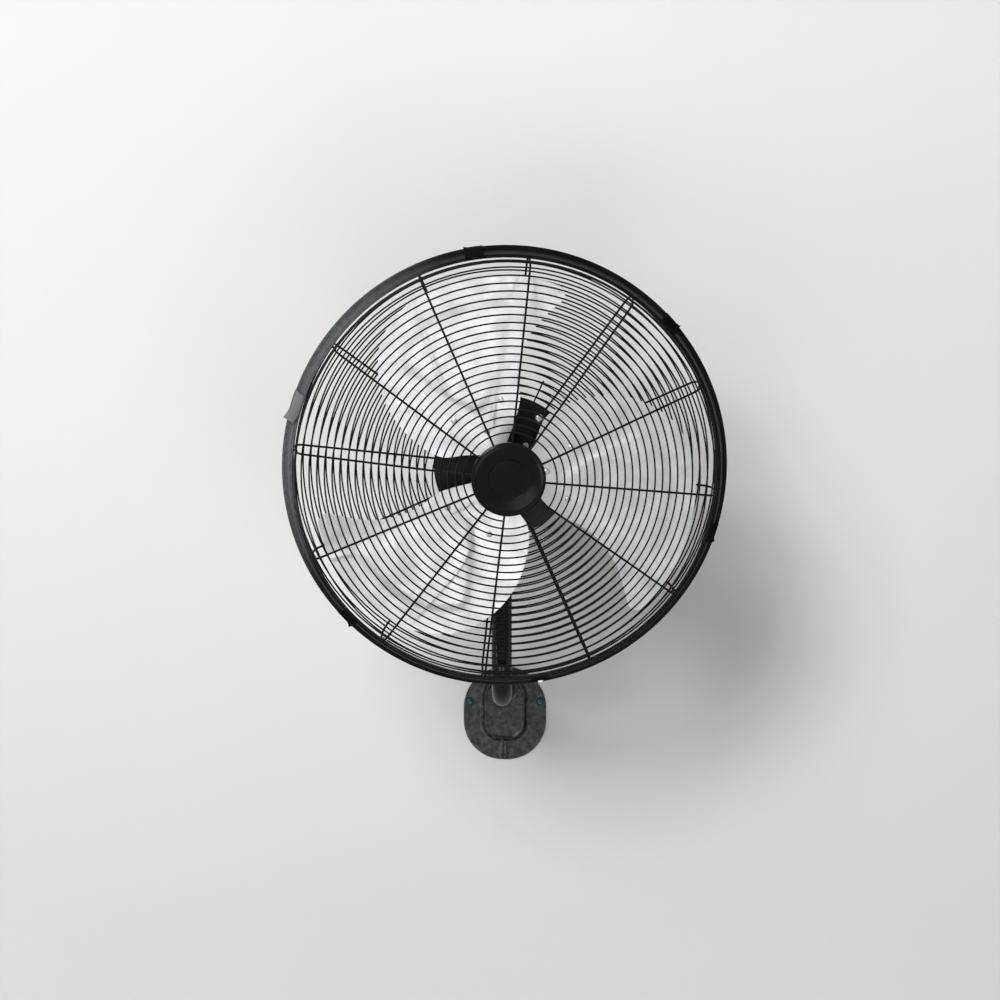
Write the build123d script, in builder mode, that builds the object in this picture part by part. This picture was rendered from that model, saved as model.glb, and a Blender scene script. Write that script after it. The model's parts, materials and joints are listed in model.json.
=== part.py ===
from build123d import *
from math import atan2, cos, degrees, hypot, radians, sin, sqrt
import os

# Wall mounted oscillating fan with a round wire cage, three aluminium blades and a bent tube arm.
# Millimetres. Origin: middle of the wall screw line, on the wall's surface. +Z is up, +X is to the
# right of someone facing the fan, and the fan blows towards -Y. The wall lies in the XZ plane.

os.makedirs("parts", exist_ok=True)

# ---- driving dimensions -------------------------------------------------------------------------
# Cage
cage_radius = 331.5          # outside of the rim band, at its back
band_width = 30.0            # rim band along the fan axis
band_flare = 14.0            # how much smaller the band's radius is at its front
band_wall = 1.5
front_lip = 3.0              # how far the band's lips reach inwards
rear_lip = 12.0
ring_bar = 4.0               # radial thickness of the guards' rim rings
spoke_size = 3.2
spoke_count = 12
spoke_start = 6.5            # degrees clockwise from the top, seen from the front
wire_size = 2.2
wire_pitch = 11.3            # spacing of the spiral's turns, along the guard's surface
runs_per_turn = 24           # straight runs that one turn of the spiral is bent from
front_depth = 90.0           # from the cage's joint plane to the cap's face
front_shoulder = 44.0        # height at which the front guard turns from its side into its dome
rear_depth = 45.0            # from the joint plane to the middle of the rear spokes
front_shoulder_inset = 24.0  # how far inside the band the guards' shoulders lie
rear_shoulder_inset = 19.0
cap_radius = 54.0
cap_height = 6.2
cap_step_radius = 31.0
cap_wall = 1.5
front_spiral_radius = 62.0   # where the front spiral starts
rear_spiral_gap = 6.0        # from the rear disc's edge to the start of the rear spiral
plate_border = 12.0          # disc in the middle of the rear guard, beyond the cover's flange
plate_wall = 1.5
clip_turns = (48.6, 107.7, 171.0, 227.2, 289.0, 352.0)   # degrees clockwise from the top
clip_length = 28.0
clip_wall = 1.2

# Blades
blade_count = 3
blade_start = 95.0           # degrees clockwise from the top, middle line of the first blade
blade_tip_radius = 290.0
blade_thickness = 1.5
blade_pitch = 11.5           # degrees, at the blade's middle line
blade_camber_radius = 1200.0
blade_plane = -16.0          # where the blades' middle lines cross the fan axis
arm_thickness = 3.0
arm_reach = 122.0
rivet_radius = 2.4
rivet_head_radius = 4.5
rivet_inner = 62.0           # distance of the inner rivet from the fan axis
rivet_outer = 104.0
rivet_spread = 22.0          # degrees between the middle line and an outer rivet
hub_radius = 28.0

# Motor
shaft_radius = 6.0
motor_radius = 71.0
motor_wall = 3.0
bell_slope = 13.0            # from the motor's side in to its flat front
motor_front = -34.6          # front face of the motor, along the fan axis
motor_back = -128.0
stator_inner = 36.0
stack_length = 40.0
cover_gap = 11.0             # between the motor's side and its cover
cover_flange = 12.0
cover_taper = 6.0
cover_wall = 1.5
cover_back = -222.0

# Neck and arm
pan_back = 148.0             # distance of the pan pivot behind the cage's joint plane
tilt_drop = 115.0            # tilt pivot below the fan axis
pan_swing = 35.0             # degrees to each side of straight ahead
pan_pin_radius = 6.5
neck_radius = 20.0
tongue_width = 16.0
tongue_radius = 18.0
tilt_bolt_radius = 5.0
cheek_wall = 6.0
tube_radius = 16.0
tube_wall = 2.5
tube_reach = 210.0           # from the wall to the upright part of the tube
tube_rise = 21.0             # level part of the tube above the wall screws
tube_bend = 60.0             # middle line radius of the elbow
fan_height = 378.0           # middle of the cage above the wall screws
sleeve_wall = 4.0
sleeve_length = 46.0

# Wall plate
plate_width = 136.0
plate_top = 58.0
plate_bottom = -95.0
plate_sheet = 3.0
plateau_width = 74.0
plateau_bottom = -65.0
plateau_top = 46.0
plateau_height = 12.0
screw_spacing = 116.0
screw_hole_radius = 3.5

# How the head stands
rest_tilt = 10.0             # degrees down
rest_pan = 4.0               # degrees towards the viewer's right

# Clearances
seat_gap = 0.1               # between pieces that are clamped or welded together
weld_gap = 0.3               # between the spiral wires and the spokes
run_gap = 0.05               # radial, shaft in its hole
move_gap = 0.5               # between faces that pass each other

# ---- sizes that follow the motor ----------------------------------------------------------------
pad_radius = motor_radius - bell_slope
cover_radius = motor_radius + cover_gap
cover_flange_radius = cover_radius + cover_flange
cover_screw_circle = cover_radius + cover_flange / 2
plate_radius = cover_flange_radius + plate_border
rear_spiral_radius = plate_radius + rear_spiral_gap

# ---- planes of the moving head ------------------------------------------------------------------
tilt_sine = sin(radians(rest_tilt))
tilt_cosine = cos(radians(rest_tilt))
pan_sine = sin(radians(rest_pan))
pan_cosine = cos(radians(rest_pan))
pivot_height = fan_height - tilt_drop * tilt_cosine + pan_back * pan_cosine * tilt_sine
tilt_pivot = Vector(0, -tube_reach, pivot_height)

# Local planes look at the fan from the front: x to the right, y up, z out of the front.
neck = Plane(origin=tilt_pivot, x_dir=(1, 0, 0), z_dir=(0, -tilt_cosine, -tilt_sine))
pan_pivot = neck.from_local_coords((0, tilt_drop, 0))
face_dir = neck.z_dir * pan_cosine + neck.x_dir * pan_sine
right_dir = neck.x_dir * pan_cosine - neck.z_dir * pan_sine
head = Plane(origin=pan_pivot + face_dir * pan_back, x_dir=right_dir, z_dir=face_dir)
fan_axis = Axis(head.origin, head.z_dir)


def radial_plane(azimuth):
    """Half plane through the fan axis: x outwards, y forwards. Azimuth clockwise from the top."""
    turn = radians(azimuth)
    outwards = head.x_dir * sin(turn) + head.y_dir * cos(turn)
    return Plane(origin=head.origin, x_dir=outwards, z_dir=outwards.cross(head.z_dir))


def finish(part, label):
    """Names a piece and writes it."""
    part.label = label
    export_step(part, f"parts/{label}.step")


# ---- rim band and rim rings ---------------------------------------------------------------------
# The band is a channel that narrows towards its front, so the front ring is the smaller one.
band_half = band_width / 2
band_front = cage_radius - band_flare
band_slope = atan2(band_flare, band_width)
front_lip_end = band_front - front_lip
rear_lip_end = cage_radius - rear_lip
ring_height = band_half - band_wall - spoke_size - 8 * seat_gap
section = radial_plane(90)


def band_inside(height):
    """Radius of the band's inner face at a distance forward of the joint plane."""
    return cage_radius - band_wall - band_flare * (height + band_half) / band_width


front_ring_outer = band_inside(3 * seat_gap + ring_height) - 3 * seat_gap
rear_ring_outer = band_inside(-3 * seat_gap) - 3 * seat_gap

# The screw that locks the band goes through one of the clips and the band's wall.
clip_wall_middle = (cage_radius + band_front) / 2
lock_turn = clip_turns[2]
lock_screw_radius = 2.0
lock_head_radius = 4.0
lock_place = radial_plane(lock_turn)
lock_dir = lock_place.x_dir * cos(band_slope) + lock_place.y_dir * sin(band_slope)
lock_plane = Plane(lock_place.from_local_coords((clip_wall_middle, 0)), z_dir=lock_dir)

with BuildPart() as rim_band:
    with BuildSketch(section):
        with BuildLine():
            Polyline(
                (cage_radius, -band_half),
                (band_front, band_half),
                (front_lip_end, band_half),
                (front_lip_end, band_half - band_wall),
                (band_inside(band_half - band_wall), band_half - band_wall),
                (band_inside(band_wall - band_half), band_wall - band_half),
                (rear_lip_end, band_wall - band_half),
                (rear_lip_end, -band_half),
                close=True,
            )
        make_face()
    revolve(axis=fan_axis)
    with BuildSketch(lock_plane):
        Circle(lock_screw_radius + run_gap)
    extrude(amount=2 * band_wall, both=True, mode=Mode.SUBTRACT)
finish(rim_band.part, "rim_band")


def rim_ring(label, outer, side):
    """Flat bar bent to a hoop, on one side of the joint plane."""
    with BuildPart() as ring:
        with BuildSketch(head.offset(side * (3 * seat_gap + ring_height / 2) - ring_height / 2)):
            Circle(outer)
            Circle(outer - ring_bar, mode=Mode.SUBTRACT)
        extrude(amount=ring_height)
    finish(ring.part, label)


rim_ring("front_rim_ring", front_ring_outer, 1)
rim_ring("rear_rim_ring", rear_ring_outer, -1)

# ---- guard wires --------------------------------------------------------------------------------
spoke_half = spoke_size / 2
spoke_foot = 4 * seat_gap + ring_height + spoke_half
lip_clearance = 4.5
front_flange = front_lip_end - lip_clearance
rear_flange = rear_lip_end - lip_clearance
front_spoke_end = band_inside(spoke_foot + spoke_half) - 3 * seat_gap
rear_spoke_end = rear_ring_outer - seat_gap
cap_back = front_depth - cap_height
spoke_crown = cap_back - seat_gap - spoke_half
backing_radius = cap_radius - 5.5
front_spoke_tip = 38.0
rear_spoke_tip = plate_radius - 10.0
foot_bend = 6.0
shoulder_bend = 14.0
crown_bend = 40.0


def front_profile():
    """Middle line of a front spoke, from the cap out to the rim, in a radial plane."""
    return FilletPolyline(
        (front_spoke_tip, spoke_crown),
        (cap_radius + 4, spoke_crown),
        (cage_radius - front_shoulder_inset, front_shoulder),
        (front_flange, spoke_foot),
        (front_spoke_end, spoke_foot),
        radius=[crown_bend, shoulder_bend, foot_bend],
    )


def rear_profile():
    """Middle line of a rear spoke, from the centre disc out to the rim, in a radial plane."""
    return FilletPolyline(
        (rear_spoke_tip, -rear_depth),
        (cage_radius - rear_shoulder_inset, -rear_depth),
        (rear_flange, -spoke_foot),
        (rear_spoke_end, -spoke_foot),
        radius=[shoulder_bend, foot_bend],
    )


def spokes(label, profile):
    """Twelve bent wires, one in each radial plane."""
    with BuildPart() as wires:
        for number in range(spoke_count):
            with BuildSketch(radial_plane(spoke_start + number * 360 / spoke_count)):
                with BuildLine():
                    profile()
                trace(line_width=spoke_size)
            extrude(amount=spoke_half, both=True)
    finish(wires.part, label)


def spiral(label, profile, side, foot, start_radius):
    """One wire wound outwards over the spokes, in short straight runs, up to the spokes' feet."""
    line = profile()
    lift = side * (spoke_half + wire_size / 4 + weld_gap)
    start = max(0.0, (start_radius - line.position_at(0).X) / line.length)
    stop = 1 - (foot + foot_bend) / line.length
    step = wire_pitch / runs_per_turn / line.length
    count = int((stop - start) / step)
    sections = []
    for number in range(count + 1):
        place = start + number * step
        middle = line.position_at(place)
        along = line.tangent_at(place)
        spot = Vector(middle.X - along.Y * lift, middle.Y + along.X * lift)
        azimuth = spoke_start + 90 + side * 90 + number * 360 / runs_per_turn
        plane = radial_plane(azimuth)
        out_dir = plane.x_dir * -along.Y * side + plane.y_dir * along.X * side
        wire_plane = Plane(plane.from_local_coords(spot), x_dir=out_dir, z_dir=plane.z_dir)
        with BuildSketch(wire_plane) as wire_section:
            RegularPolygon(radius=wire_size / 2, side_count=3, major_radius=True)
        sections.append(wire_section.sketch.face())
    with BuildPart() as wire:
        loft(sections, ruled=True)
    finish(wire.part, label)


spokes("front_guard_spokes", front_profile)
spokes("rear_guard_spokes", rear_profile)
spiral("front_guard_spiral", front_profile, 1, front_spoke_end - front_flange, front_spiral_radius)
spiral("rear_guard_spiral", rear_profile, -1, rear_spoke_end - rear_flange, rear_spiral_radius)

# ---- disc in the middle of the rear guard -------------------------------------------------------
disc_back = spoke_half - rear_depth + seat_gap
disc_front = disc_back + plate_wall
pad_front = motor_front + seat_gap + plate_wall
pad_slope = 10.5
plate_bore = 26.0
cover_screw_count = 4
screw_radius = 2.5
screw_head_radius = 4.8
screw_head_height = 3.0
motor_screw_circle = 44.0

with BuildPart() as guard_plate:
    with BuildSketch(section):
        with BuildLine():
            Polyline(
                (plate_bore, pad_front),
                (pad_radius, pad_front),
                (pad_radius + pad_slope, disc_front),
                (plate_radius, disc_front),
                (plate_radius, disc_back),
                (pad_radius + pad_slope - plate_wall / 2, disc_back),
                (pad_radius - plate_wall / 2, pad_front - plate_wall),
                (plate_bore, pad_front - plate_wall),
                close=True,
            )
        make_face()
    revolve(axis=fan_axis)
    with BuildSketch(head.offset(disc_back)):
        with PolarLocations(cover_screw_circle, cover_screw_count, start_angle=90 - spoke_start - 30):
            Circle(screw_radius + run_gap)
        with PolarLocations(motor_screw_circle, cover_screw_count, start_angle=45):
            Circle(screw_radius + run_gap)
    extrude(amount=2 * pad_slope, mode=Mode.SUBTRACT)
finish(guard_plate.part, "guard_plate")


def screws(label, circle, start_angle, seat, depth):
    """Four round-headed screws on a circle, heads forward of their seat."""
    with BuildPart() as group:
        with BuildSketch(head.offset(seat)):
            with PolarLocations(circle, 4, start_angle=start_angle):
                Circle(screw_head_radius)
        extrude(amount=screw_head_height)
        chamfer(group.edges().group_by(Axis(head.origin, head.z_dir))[-1], length=1.0)
        with BuildSketch(head.offset(seat)):
            with PolarLocations(circle, 4, start_angle=start_angle):
                Circle(screw_radius)
        extrude(amount=-depth)
    finish(group.part, label)


cover_screw_depth = 8.0
screws("cover_screws", cover_screw_circle, 90 - spoke_start - 30, disc_front, cover_screw_depth)
screws("motor_screws", motor_screw_circle, 45, pad_front, 4.5)

# ---- cap of the front guard ---------------------------------------------------------------------
cap_boss_radius = 4.5
cap_boss_circle = 22.0
cap_screw_radius = 1.75
backing_front = spoke_crown - spoke_half - seat_gap
cap_step = 1.0

with BuildPart() as cap:
    with BuildSketch(section):
        with BuildLine():
            Polyline(
                (0, front_depth - cap_step),
                (cap_step_radius, front_depth - cap_step),
                (cap_step_radius + cap_step, front_depth),
                (cap_radius - 2.5, front_depth),
                (cap_radius, front_depth - 2.0),
                (cap_radius, cap_back),
                (cap_radius - cap_wall, cap_back),
                (cap_radius - cap_wall, front_depth - 2.5),
                (0, front_depth - 2.5),
                close=True,
            )
        make_face()
    revolve(axis=fan_axis)
    with BuildSketch(head.offset(backing_front + seat_gap)):
        with PolarLocations(cap_boss_circle, 2):
            Circle(cap_boss_radius)
            Circle(cap_screw_radius + run_gap, mode=Mode.SUBTRACT)
    extrude(amount=front_depth - 2.5 - backing_front - seat_gap)
finish(cap.part, "front_cap")

with BuildPart() as backing:
    with BuildSketch(head.offset(backing_front)):
        Circle(backing_radius)
        with PolarLocations(cap_boss_circle, 2):
            Circle(cap_screw_radius + run_gap, mode=Mode.SUBTRACT)
    extrude(amount=-2.0)
finish(backing.part, "cap_backing_plate")

with BuildPart() as cap_screws:
    with BuildSketch(head.offset(backing_front - 2.0)):
        with PolarLocations(cap_boss_circle, 2):
            Circle(3.4)
    extrude(amount=-2.2)
    with BuildSketch(head.offset(backing_front - 2.0)):
        with PolarLocations(cap_boss_circle, 2):
            Circle(cap_screw_radius)
    extrude(amount=9.0)
finish(cap_screws.part, "cap_screws")

# ---- clips round the rim band -------------------------------------------------------------------
clip_gap = 2 * seat_gap
clip_front = band_front + clip_gap
clip_back = cage_radius + clip_gap
front_tab = 2.5
rear_tab = 8.0
clip_half = band_half + seat_gap
clip_angle = degrees(clip_length / cage_radius)
latch_turn = clip_turns[4]
flare_length = 16.0
flare_rise = 7.0

with BuildPart() as clips:
    for azimuth in clip_turns:
        with BuildSketch(radial_plane(azimuth - clip_angle / 2)):
            with BuildLine():
                Polyline(
                    (clip_front - front_tab, clip_half),
                    (clip_front, clip_half),
                    (clip_back, -clip_half),
                    (clip_back - rear_tab, -clip_half),
                    (clip_back - rear_tab, -clip_half - clip_wall),
                    (clip_back + clip_wall, -clip_half - clip_wall),
                    (clip_front + clip_wall, clip_half + clip_wall),
                    (clip_front - front_tab, clip_half + clip_wall),
                    close=True,
                )
            make_face()
        revolve(axis=fan_axis, revolution_arc=-clip_angle)
    flared = radial_plane(latch_turn - clip_angle / 2)
    flare_out = flared.x_dir * cos(band_slope) + flared.y_dir * sin(band_slope)
    flare_along = flared.y_dir * cos(band_slope) - flared.x_dir * sin(band_slope)
    flare_plane = Plane(flared.from_local_coords((clip_back, -clip_half)), x_dir=flare_out, z_dir=flare_along)
    with BuildSketch(flare_plane):
        with BuildLine():
            Polyline(
                (clip_wall / 4, -clip_wall),
                (clip_wall * 3 / 4, -clip_wall),
                (flare_rise, flare_length),
                (flare_rise - clip_wall / 2, flare_length),
                close=True,
            )
        make_face()
    extrude(amount=2 * clip_half)
    with BuildSketch(lock_plane):
        Circle(lock_screw_radius + run_gap)
    extrude(amount=3 * clip_wall, mode=Mode.SUBTRACT)
finish(clips.part, "rim_clips")

lock_head_height = 3.0
lock_seat = (clip_gap + clip_wall) * cos(band_slope) + seat_gap

with BuildPart() as lock_screw:
    with BuildSketch(lock_plane.offset(lock_seat)):
        Circle(lock_head_radius)
    extrude(amount=lock_head_height)
    chamfer(lock_screw.edges().sort_by(Axis(lock_plane.origin, lock_dir))[-1], length=0.8)
    with BuildSketch(lock_plane.offset(-band_wall)):
        Circle(lock_screw_radius)
    extrude(amount=band_wall + lock_seat)
finish(lock_screw.part, "rim_lock_screw")

# ---- rotor: shaft, hub, blades ------------------------------------------------------------------
shaft_front = 14.0
worm_front = -152.0
worm_length = 24.0
hub_front = 2.0
hub_back = -31.0

with BuildPart() as shaft:
    with BuildSketch(head.offset(worm_front - worm_length)):
        Circle(shaft_radius)
    extrude(amount=shaft_front - worm_front + worm_length)
    chamfer(shaft.edges().filter_by(GeomType.CIRCLE), length=0.8)
finish(shaft.part, "motor_shaft")


def blade_seat(turn, along, across, lift=0.0):
    """Plane on a blade's middle surface: x outwards along the blade, z out of its front face.

    turn is the blade's azimuth, along the distance from the fan axis and across the distance from
    the blade's middle line towards its leading edge, round the curve of the camber.
    """
    line = radial_plane(turn)
    side_dir = head.z_dir.cross(line.x_dir)
    lead_dir = side_dir * cos(radians(blade_pitch)) - head.z_dir * sin(radians(blade_pitch))
    front_dir = head.z_dir * cos(radians(blade_pitch)) + side_dir * sin(radians(blade_pitch))
    bend = across / blade_camber_radius
    middle = head.origin + head.z_dir * blade_plane + line.x_dir * along
    middle += lead_dir * blade_camber_radius * sin(bend)
    middle += front_dir * blade_camber_radius * (1 - cos(bend))
    normal = front_dir * cos(bend) - lead_dir * sin(bend)
    return Plane(origin=middle + normal * lift, x_dir=line.x_dir, z_dir=normal)


def camber_plane(turn):
    """Plane across a blade through the centre of its camber: x towards the leading edge."""
    seat = blade_seat(turn, 0, 0)
    return Plane(origin=seat.origin + seat.z_dir * blade_camber_radius, x_dir=seat.y_dir, z_dir=seat.x_dir)


def rivet_places():
    """Along and across distances of one blade's three rivets."""
    outer_along = rivet_outer * cos(radians(rivet_spread))
    outer_across = rivet_outer * sin(radians(rivet_spread))
    return [(rivet_inner, 0), (outer_along, outer_across), (outer_along, -outer_across)]


def blade_outline():
    """Paddle seen from the front, x outwards, y towards the leading edge."""
    lead_root = outline_point(0.19, 0.275)
    lead_points = [outline_point(x, y) for x, y in [(0.36, 0.378), (0.55, 0.412), (0.72, 0.376), (0.885, 0.265)]]
    lead_corner = outline_point(0.985, 0.03)
    tip_middle = polar_point(blade_tip_radius, -18)
    tail_tip = polar_point(0.985 * blade_tip_radius, -40.5)
    tail_corner = outline_point(0.67, -0.615)
    trail_points = [outline_point(x, y) for x, y in [(0.61, -0.455), (0.52, -0.337), (0.40, -0.254), (0.28, -0.21)]]
    root = hub_radius + 2.0
    lead = Spline(lead_root, *lead_points, lead_corner, tangents=[(0.62, 0.78), (0.1, -1.0)])
    tip = ThreePointArc(lead @ 1, tip_middle, tail_tip)
    tail = TangentArc(tail_tip, tail_corner, tangent=tip % 1)
    trail = Spline(tail @ 1, *trail_points, (root, -0.5 * hub_radius), tangents=[tail % 1, (-0.7, 0.7)])
    inner = Line(trail @ 1, (root, 0.5 * hub_radius))
    Spline(inner @ 1, lead_root, tangents=[(0.6, 0.6), (0.62, 0.78)])


def outline_point(along, across):
    """Point of a blade's outline in shares of the blade's tip radius."""
    return (along * blade_tip_radius, across * blade_tip_radius)


def polar_point(radius, angle):
    """Point of a blade's outline at a distance from the axis and an angle from its middle line."""
    return (radius * cos(radians(angle)), radius * sin(radians(angle)))


blade_box = 60.0


def blade(label, turn):
    """One cambered aluminium paddle with its three rivet holes."""
    line = radial_plane(turn)
    face_on = Plane(origin=head.origin, x_dir=line.x_dir, z_dir=head.z_dir)
    with BuildPart() as paddle:
        with BuildSketch(face_on.offset(-blade_box)):
            with BuildLine():
                blade_outline()
            make_face()
        extrude(amount=2 * blade_box)
        with BuildSketch(camber_plane(turn)):
            Circle(blade_camber_radius + blade_thickness / 2)
            Circle(blade_camber_radius - blade_thickness / 2, mode=Mode.SUBTRACT)
        extrude(amount=blade_tip_radius + blade_box, mode=Mode.INTERSECT)
        for along, across in rivet_places():
            with BuildSketch(blade_seat(turn, along, across)):
                Circle(rivet_radius + run_gap)
            extrude(amount=blade_thickness, both=True, mode=Mode.SUBTRACT)
    finish(paddle.part, label)


blade_turns = [blade_start + number * 360 / blade_count for number in range(blade_count)]
for turn, letter in zip(blade_turns, "abc"):
    blade(f"blade_{letter}", turn)

arm_root = 44.0
arm_tip = 100.0
arm_lift = -(blade_thickness + arm_thickness) / 2 - seat_gap

arm_corner = 16.0


def spider_arm(turn):
    """Stamped arm behind one blade, curved like the blade, with its three rivet holes."""
    line = radial_plane(turn)
    face_on = Plane(origin=head.origin, x_dir=line.x_dir, z_dir=head.z_dir)
    with BuildPart() as arm:
        with BuildSketch(face_on.offset(-blade_box)) as outline:
            with BuildLine():
                Polyline(
                    (0, -arm_root / 2),
                    (arm_reach, -arm_tip / 2),
                    (arm_reach, arm_tip / 2),
                    (0, arm_root / 2),
                    close=True,
                )
            make_face()
            fillet(outline.vertices().group_by(Axis.X)[-1], arm_corner)
        extrude(amount=2 * blade_box)
        with BuildSketch(camber_plane(turn)):
            Circle(blade_camber_radius - arm_lift + arm_thickness / 2)
            Circle(blade_camber_radius - arm_lift - arm_thickness / 2, mode=Mode.SUBTRACT)
        extrude(amount=arm_reach + blade_box, mode=Mode.INTERSECT)
        for along, across in rivet_places():
            with BuildSketch(blade_seat(turn, along, across, arm_lift)):
                Circle(rivet_radius + run_gap)
            extrude(amount=arm_thickness, both=True, mode=Mode.SUBTRACT)
    return arm.part


set_screw_radius = 3.0
set_screw_height = -25.0

with BuildPart() as spider:
    for turn in blade_turns:
        add(spider_arm(turn))
    with BuildSketch(head.offset(hub_back)):
        Circle(hub_radius)
    extrude(amount=hub_front - hub_back)
    with BuildSketch(head.offset(hub_back)):
        Circle(shaft_radius + run_gap)
    extrude(amount=hub_front - hub_back, mode=Mode.SUBTRACT)
    screw_plane = Plane(radial_plane(blade_start + 60).from_local_coords((0, set_screw_height)),
                        z_dir=radial_plane(blade_start + 60).x_dir)
    with BuildSketch(screw_plane):
        Circle(set_screw_radius + run_gap)
    extrude(amount=hub_radius + set_screw_radius, mode=Mode.SUBTRACT)
finish(spider.part, "blade_hub")

with BuildPart() as set_screw:
    with BuildSketch(screw_plane.offset(shaft_radius + seat_gap)):
        Circle(set_screw_radius)
    extrude(amount=hub_radius - shaft_radius + 1.0)
finish(set_screw.part, "hub_set_screw")

with BuildPart() as hub_nut:
    with BuildSketch(head.offset(hub_front + seat_gap)):
        RegularPolygon(radius=11.0, side_count=6)
        Circle(shaft_radius + run_gap, mode=Mode.SUBTRACT)
    extrude(amount=8.0)
finish(hub_nut.part, "hub_nut")

rivet_head_height = 1.8
rivet_grip = blade_thickness / 2 + seat_gap
rivet_tail = arm_thickness + blade_thickness / 2 + 2 * seat_gap

with BuildPart() as rivets:
    for turn in blade_turns:
        for along, across in rivet_places():
            seat = blade_seat(turn, along, across)
            with BuildSketch(seat.offset(rivet_grip)):
                Circle(rivet_head_radius)
            extrude(amount=rivet_head_height, taper=35)
            with BuildSketch(seat.offset(-rivet_tail)):
                Circle(rivet_radius)
            extrude(amount=rivet_tail + rivet_grip)
            with BuildSketch(seat.offset(-rivet_tail - rivet_head_height / 2)):
                Circle(rivet_head_radius - 0.5)
            extrude(amount=rivet_head_height / 2)
finish(rivets.part, "blade_rivets")

# ---- motor --------------------------------------------------------------------------------------
motor_inner = motor_radius - motor_wall
motor_split = (motor_front + motor_back) / 2
bearing_radius = 14.0
bearing_length = 9.0
bell_shoulder = 12.0
rotor_radius = stator_inner - move_gap
stack_back = motor_split - stack_length / 2
winding_depth = 14.0
winding_outer = motor_inner - 8.0
seat_wall = 3.0


def bell(label, face, split, forward):
    """Half of the motor's shell: a cup with a bearing seat, open towards the other half."""
    inner = face - forward * motor_wall
    seat_end = face - forward * (motor_wall + bearing_length)
    with BuildPart() as half:
        with BuildSketch(section):
            with BuildLine():
                Polyline(
                    (shaft_radius + 2.0, face),
                    (pad_radius - 1.0, face),
                    (motor_radius, face - forward * bell_shoulder),
                    (motor_radius, split),
                    (motor_inner, split),
                    (motor_inner, face - forward * (bell_shoulder + 1.0)),
                    (pad_radius - 2.0, inner),
                    (bearing_radius + seat_wall, inner),
                    (bearing_radius + seat_wall, seat_end),
                    (bearing_radius + run_gap, seat_end),
                    (bearing_radius + run_gap, inner),
                    (shaft_radius + 2.0, inner),
                    close=True,
                )
            make_face()
        revolve(axis=fan_axis)
        if forward > 0:
            with BuildSketch(head.offset(face)):
                with PolarLocations(motor_screw_circle, cover_screw_count, start_angle=45):
                    Circle(screw_radius + run_gap)
            extrude(amount=-2 * motor_wall, mode=Mode.SUBTRACT)
    finish(half.part, label)


bell("motor_front_bell", motor_front, motor_split + seat_gap / 2, 1)
bell("motor_rear_bell", motor_back, motor_split - seat_gap / 2, -1)


def hoop(label, outer, inner, back, length):
    """Plain ring round the fan axis."""
    with BuildPart() as ring:
        with BuildSketch(head.offset(back)):
            Circle(outer)
            Circle(inner, mode=Mode.SUBTRACT)
        extrude(amount=length)
    finish(ring.part, label)


bearing_outer = bearing_radius
bearing_inner = shaft_radius + run_gap
front_bearing_back = motor_front - motor_wall - bearing_length
hoop("front_bearing", bearing_outer, bearing_inner, front_bearing_back, bearing_length - seat_gap)
rear_bearing_back = motor_back + motor_wall + seat_gap
hoop("rear_bearing", bearing_outer, bearing_inner, rear_bearing_back, bearing_length - seat_gap)
hoop("stator_stack", motor_inner - seat_gap, stator_inner, stack_back, stack_length)
hoop("rotor_core", rotor_radius, shaft_radius + run_gap, stack_back, stack_length)

with BuildPart() as windings:
    for back in (stack_back - seat_gap - winding_depth, stack_back + stack_length + seat_gap):
        with BuildSketch(head.offset(back)):
            Circle(winding_outer)
            Circle(stator_inner + 4.0, mode=Mode.SUBTRACT)
        extrude(amount=winding_depth)
finish(windings.part, "stator_windings")

# ---- oscillating gearbox ------------------------------------------------------------------------
# The worm on the shaft turns the worm wheel, whose pinion drives the crank gear. The crank pin and a
# link to a fixed pin on the neck swing the whole head about the pan pin.
case_half_width = 34.0
case_wall = 3.0
case_top = 34.0
case_floor = -58.0
case_corner = 8.0
crank_back = 38.0            # crank axis behind the pan axis
worm_radius = 9.0
wheel_radius = 10.0
wheel_height = 8.0
wheel_shaft_radius = 3.0
pinion_radius = 6.0
gear_height = 6.0
gear_level = -42.0
socket_wall = 4.0
socket_top = -18.0
link_pin_offset = 17.0       # fixed link pin from the pan axis
link_wall = 2.0
link_eye_radius = 5.0
link_pin_radius = 2.5
crank_disc_height = 3.5
crank_shaft_radius = 5.0
stem_radius = 3.0

wheel_side = worm_radius + wheel_radius + move_gap
wheel_back = worm_front - worm_length / 2
gear_radius = hypot(wheel_side, wheel_back + pan_back + crank_back) - pinion_radius - move_gap
case_front = motor_back - seat_gap
case_back = -pan_back - crank_back - gear_radius - move_gap - case_wall

swing_side = crank_back * sin(radians(pan_swing))
swing_depth = crank_back * cos(radians(pan_swing))
link_far = hypot(swing_side + link_pin_offset, swing_depth)
link_near = hypot(swing_side - link_pin_offset, swing_depth)
link_length = (link_far + link_near) / 2
crank_throw = (link_far - link_near) / 2
crank_disc_radius = crank_throw + link_pin_radius + 1.5


def case_plane(height):
    """Level plane of the head at a height over the fan axis: x right, y backwards."""
    return Plane(origin=head.origin + head.y_dir * height, x_dir=head.x_dir, z_dir=head.y_dir)


case_middle = (0, -(case_front + case_back) / 2)
case_length = case_front - case_back
pan_spot = (0, pan_back)
crank_spot = (0, pan_back + crank_back)
wheel_spot = (wheel_side, -wheel_back)

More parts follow.
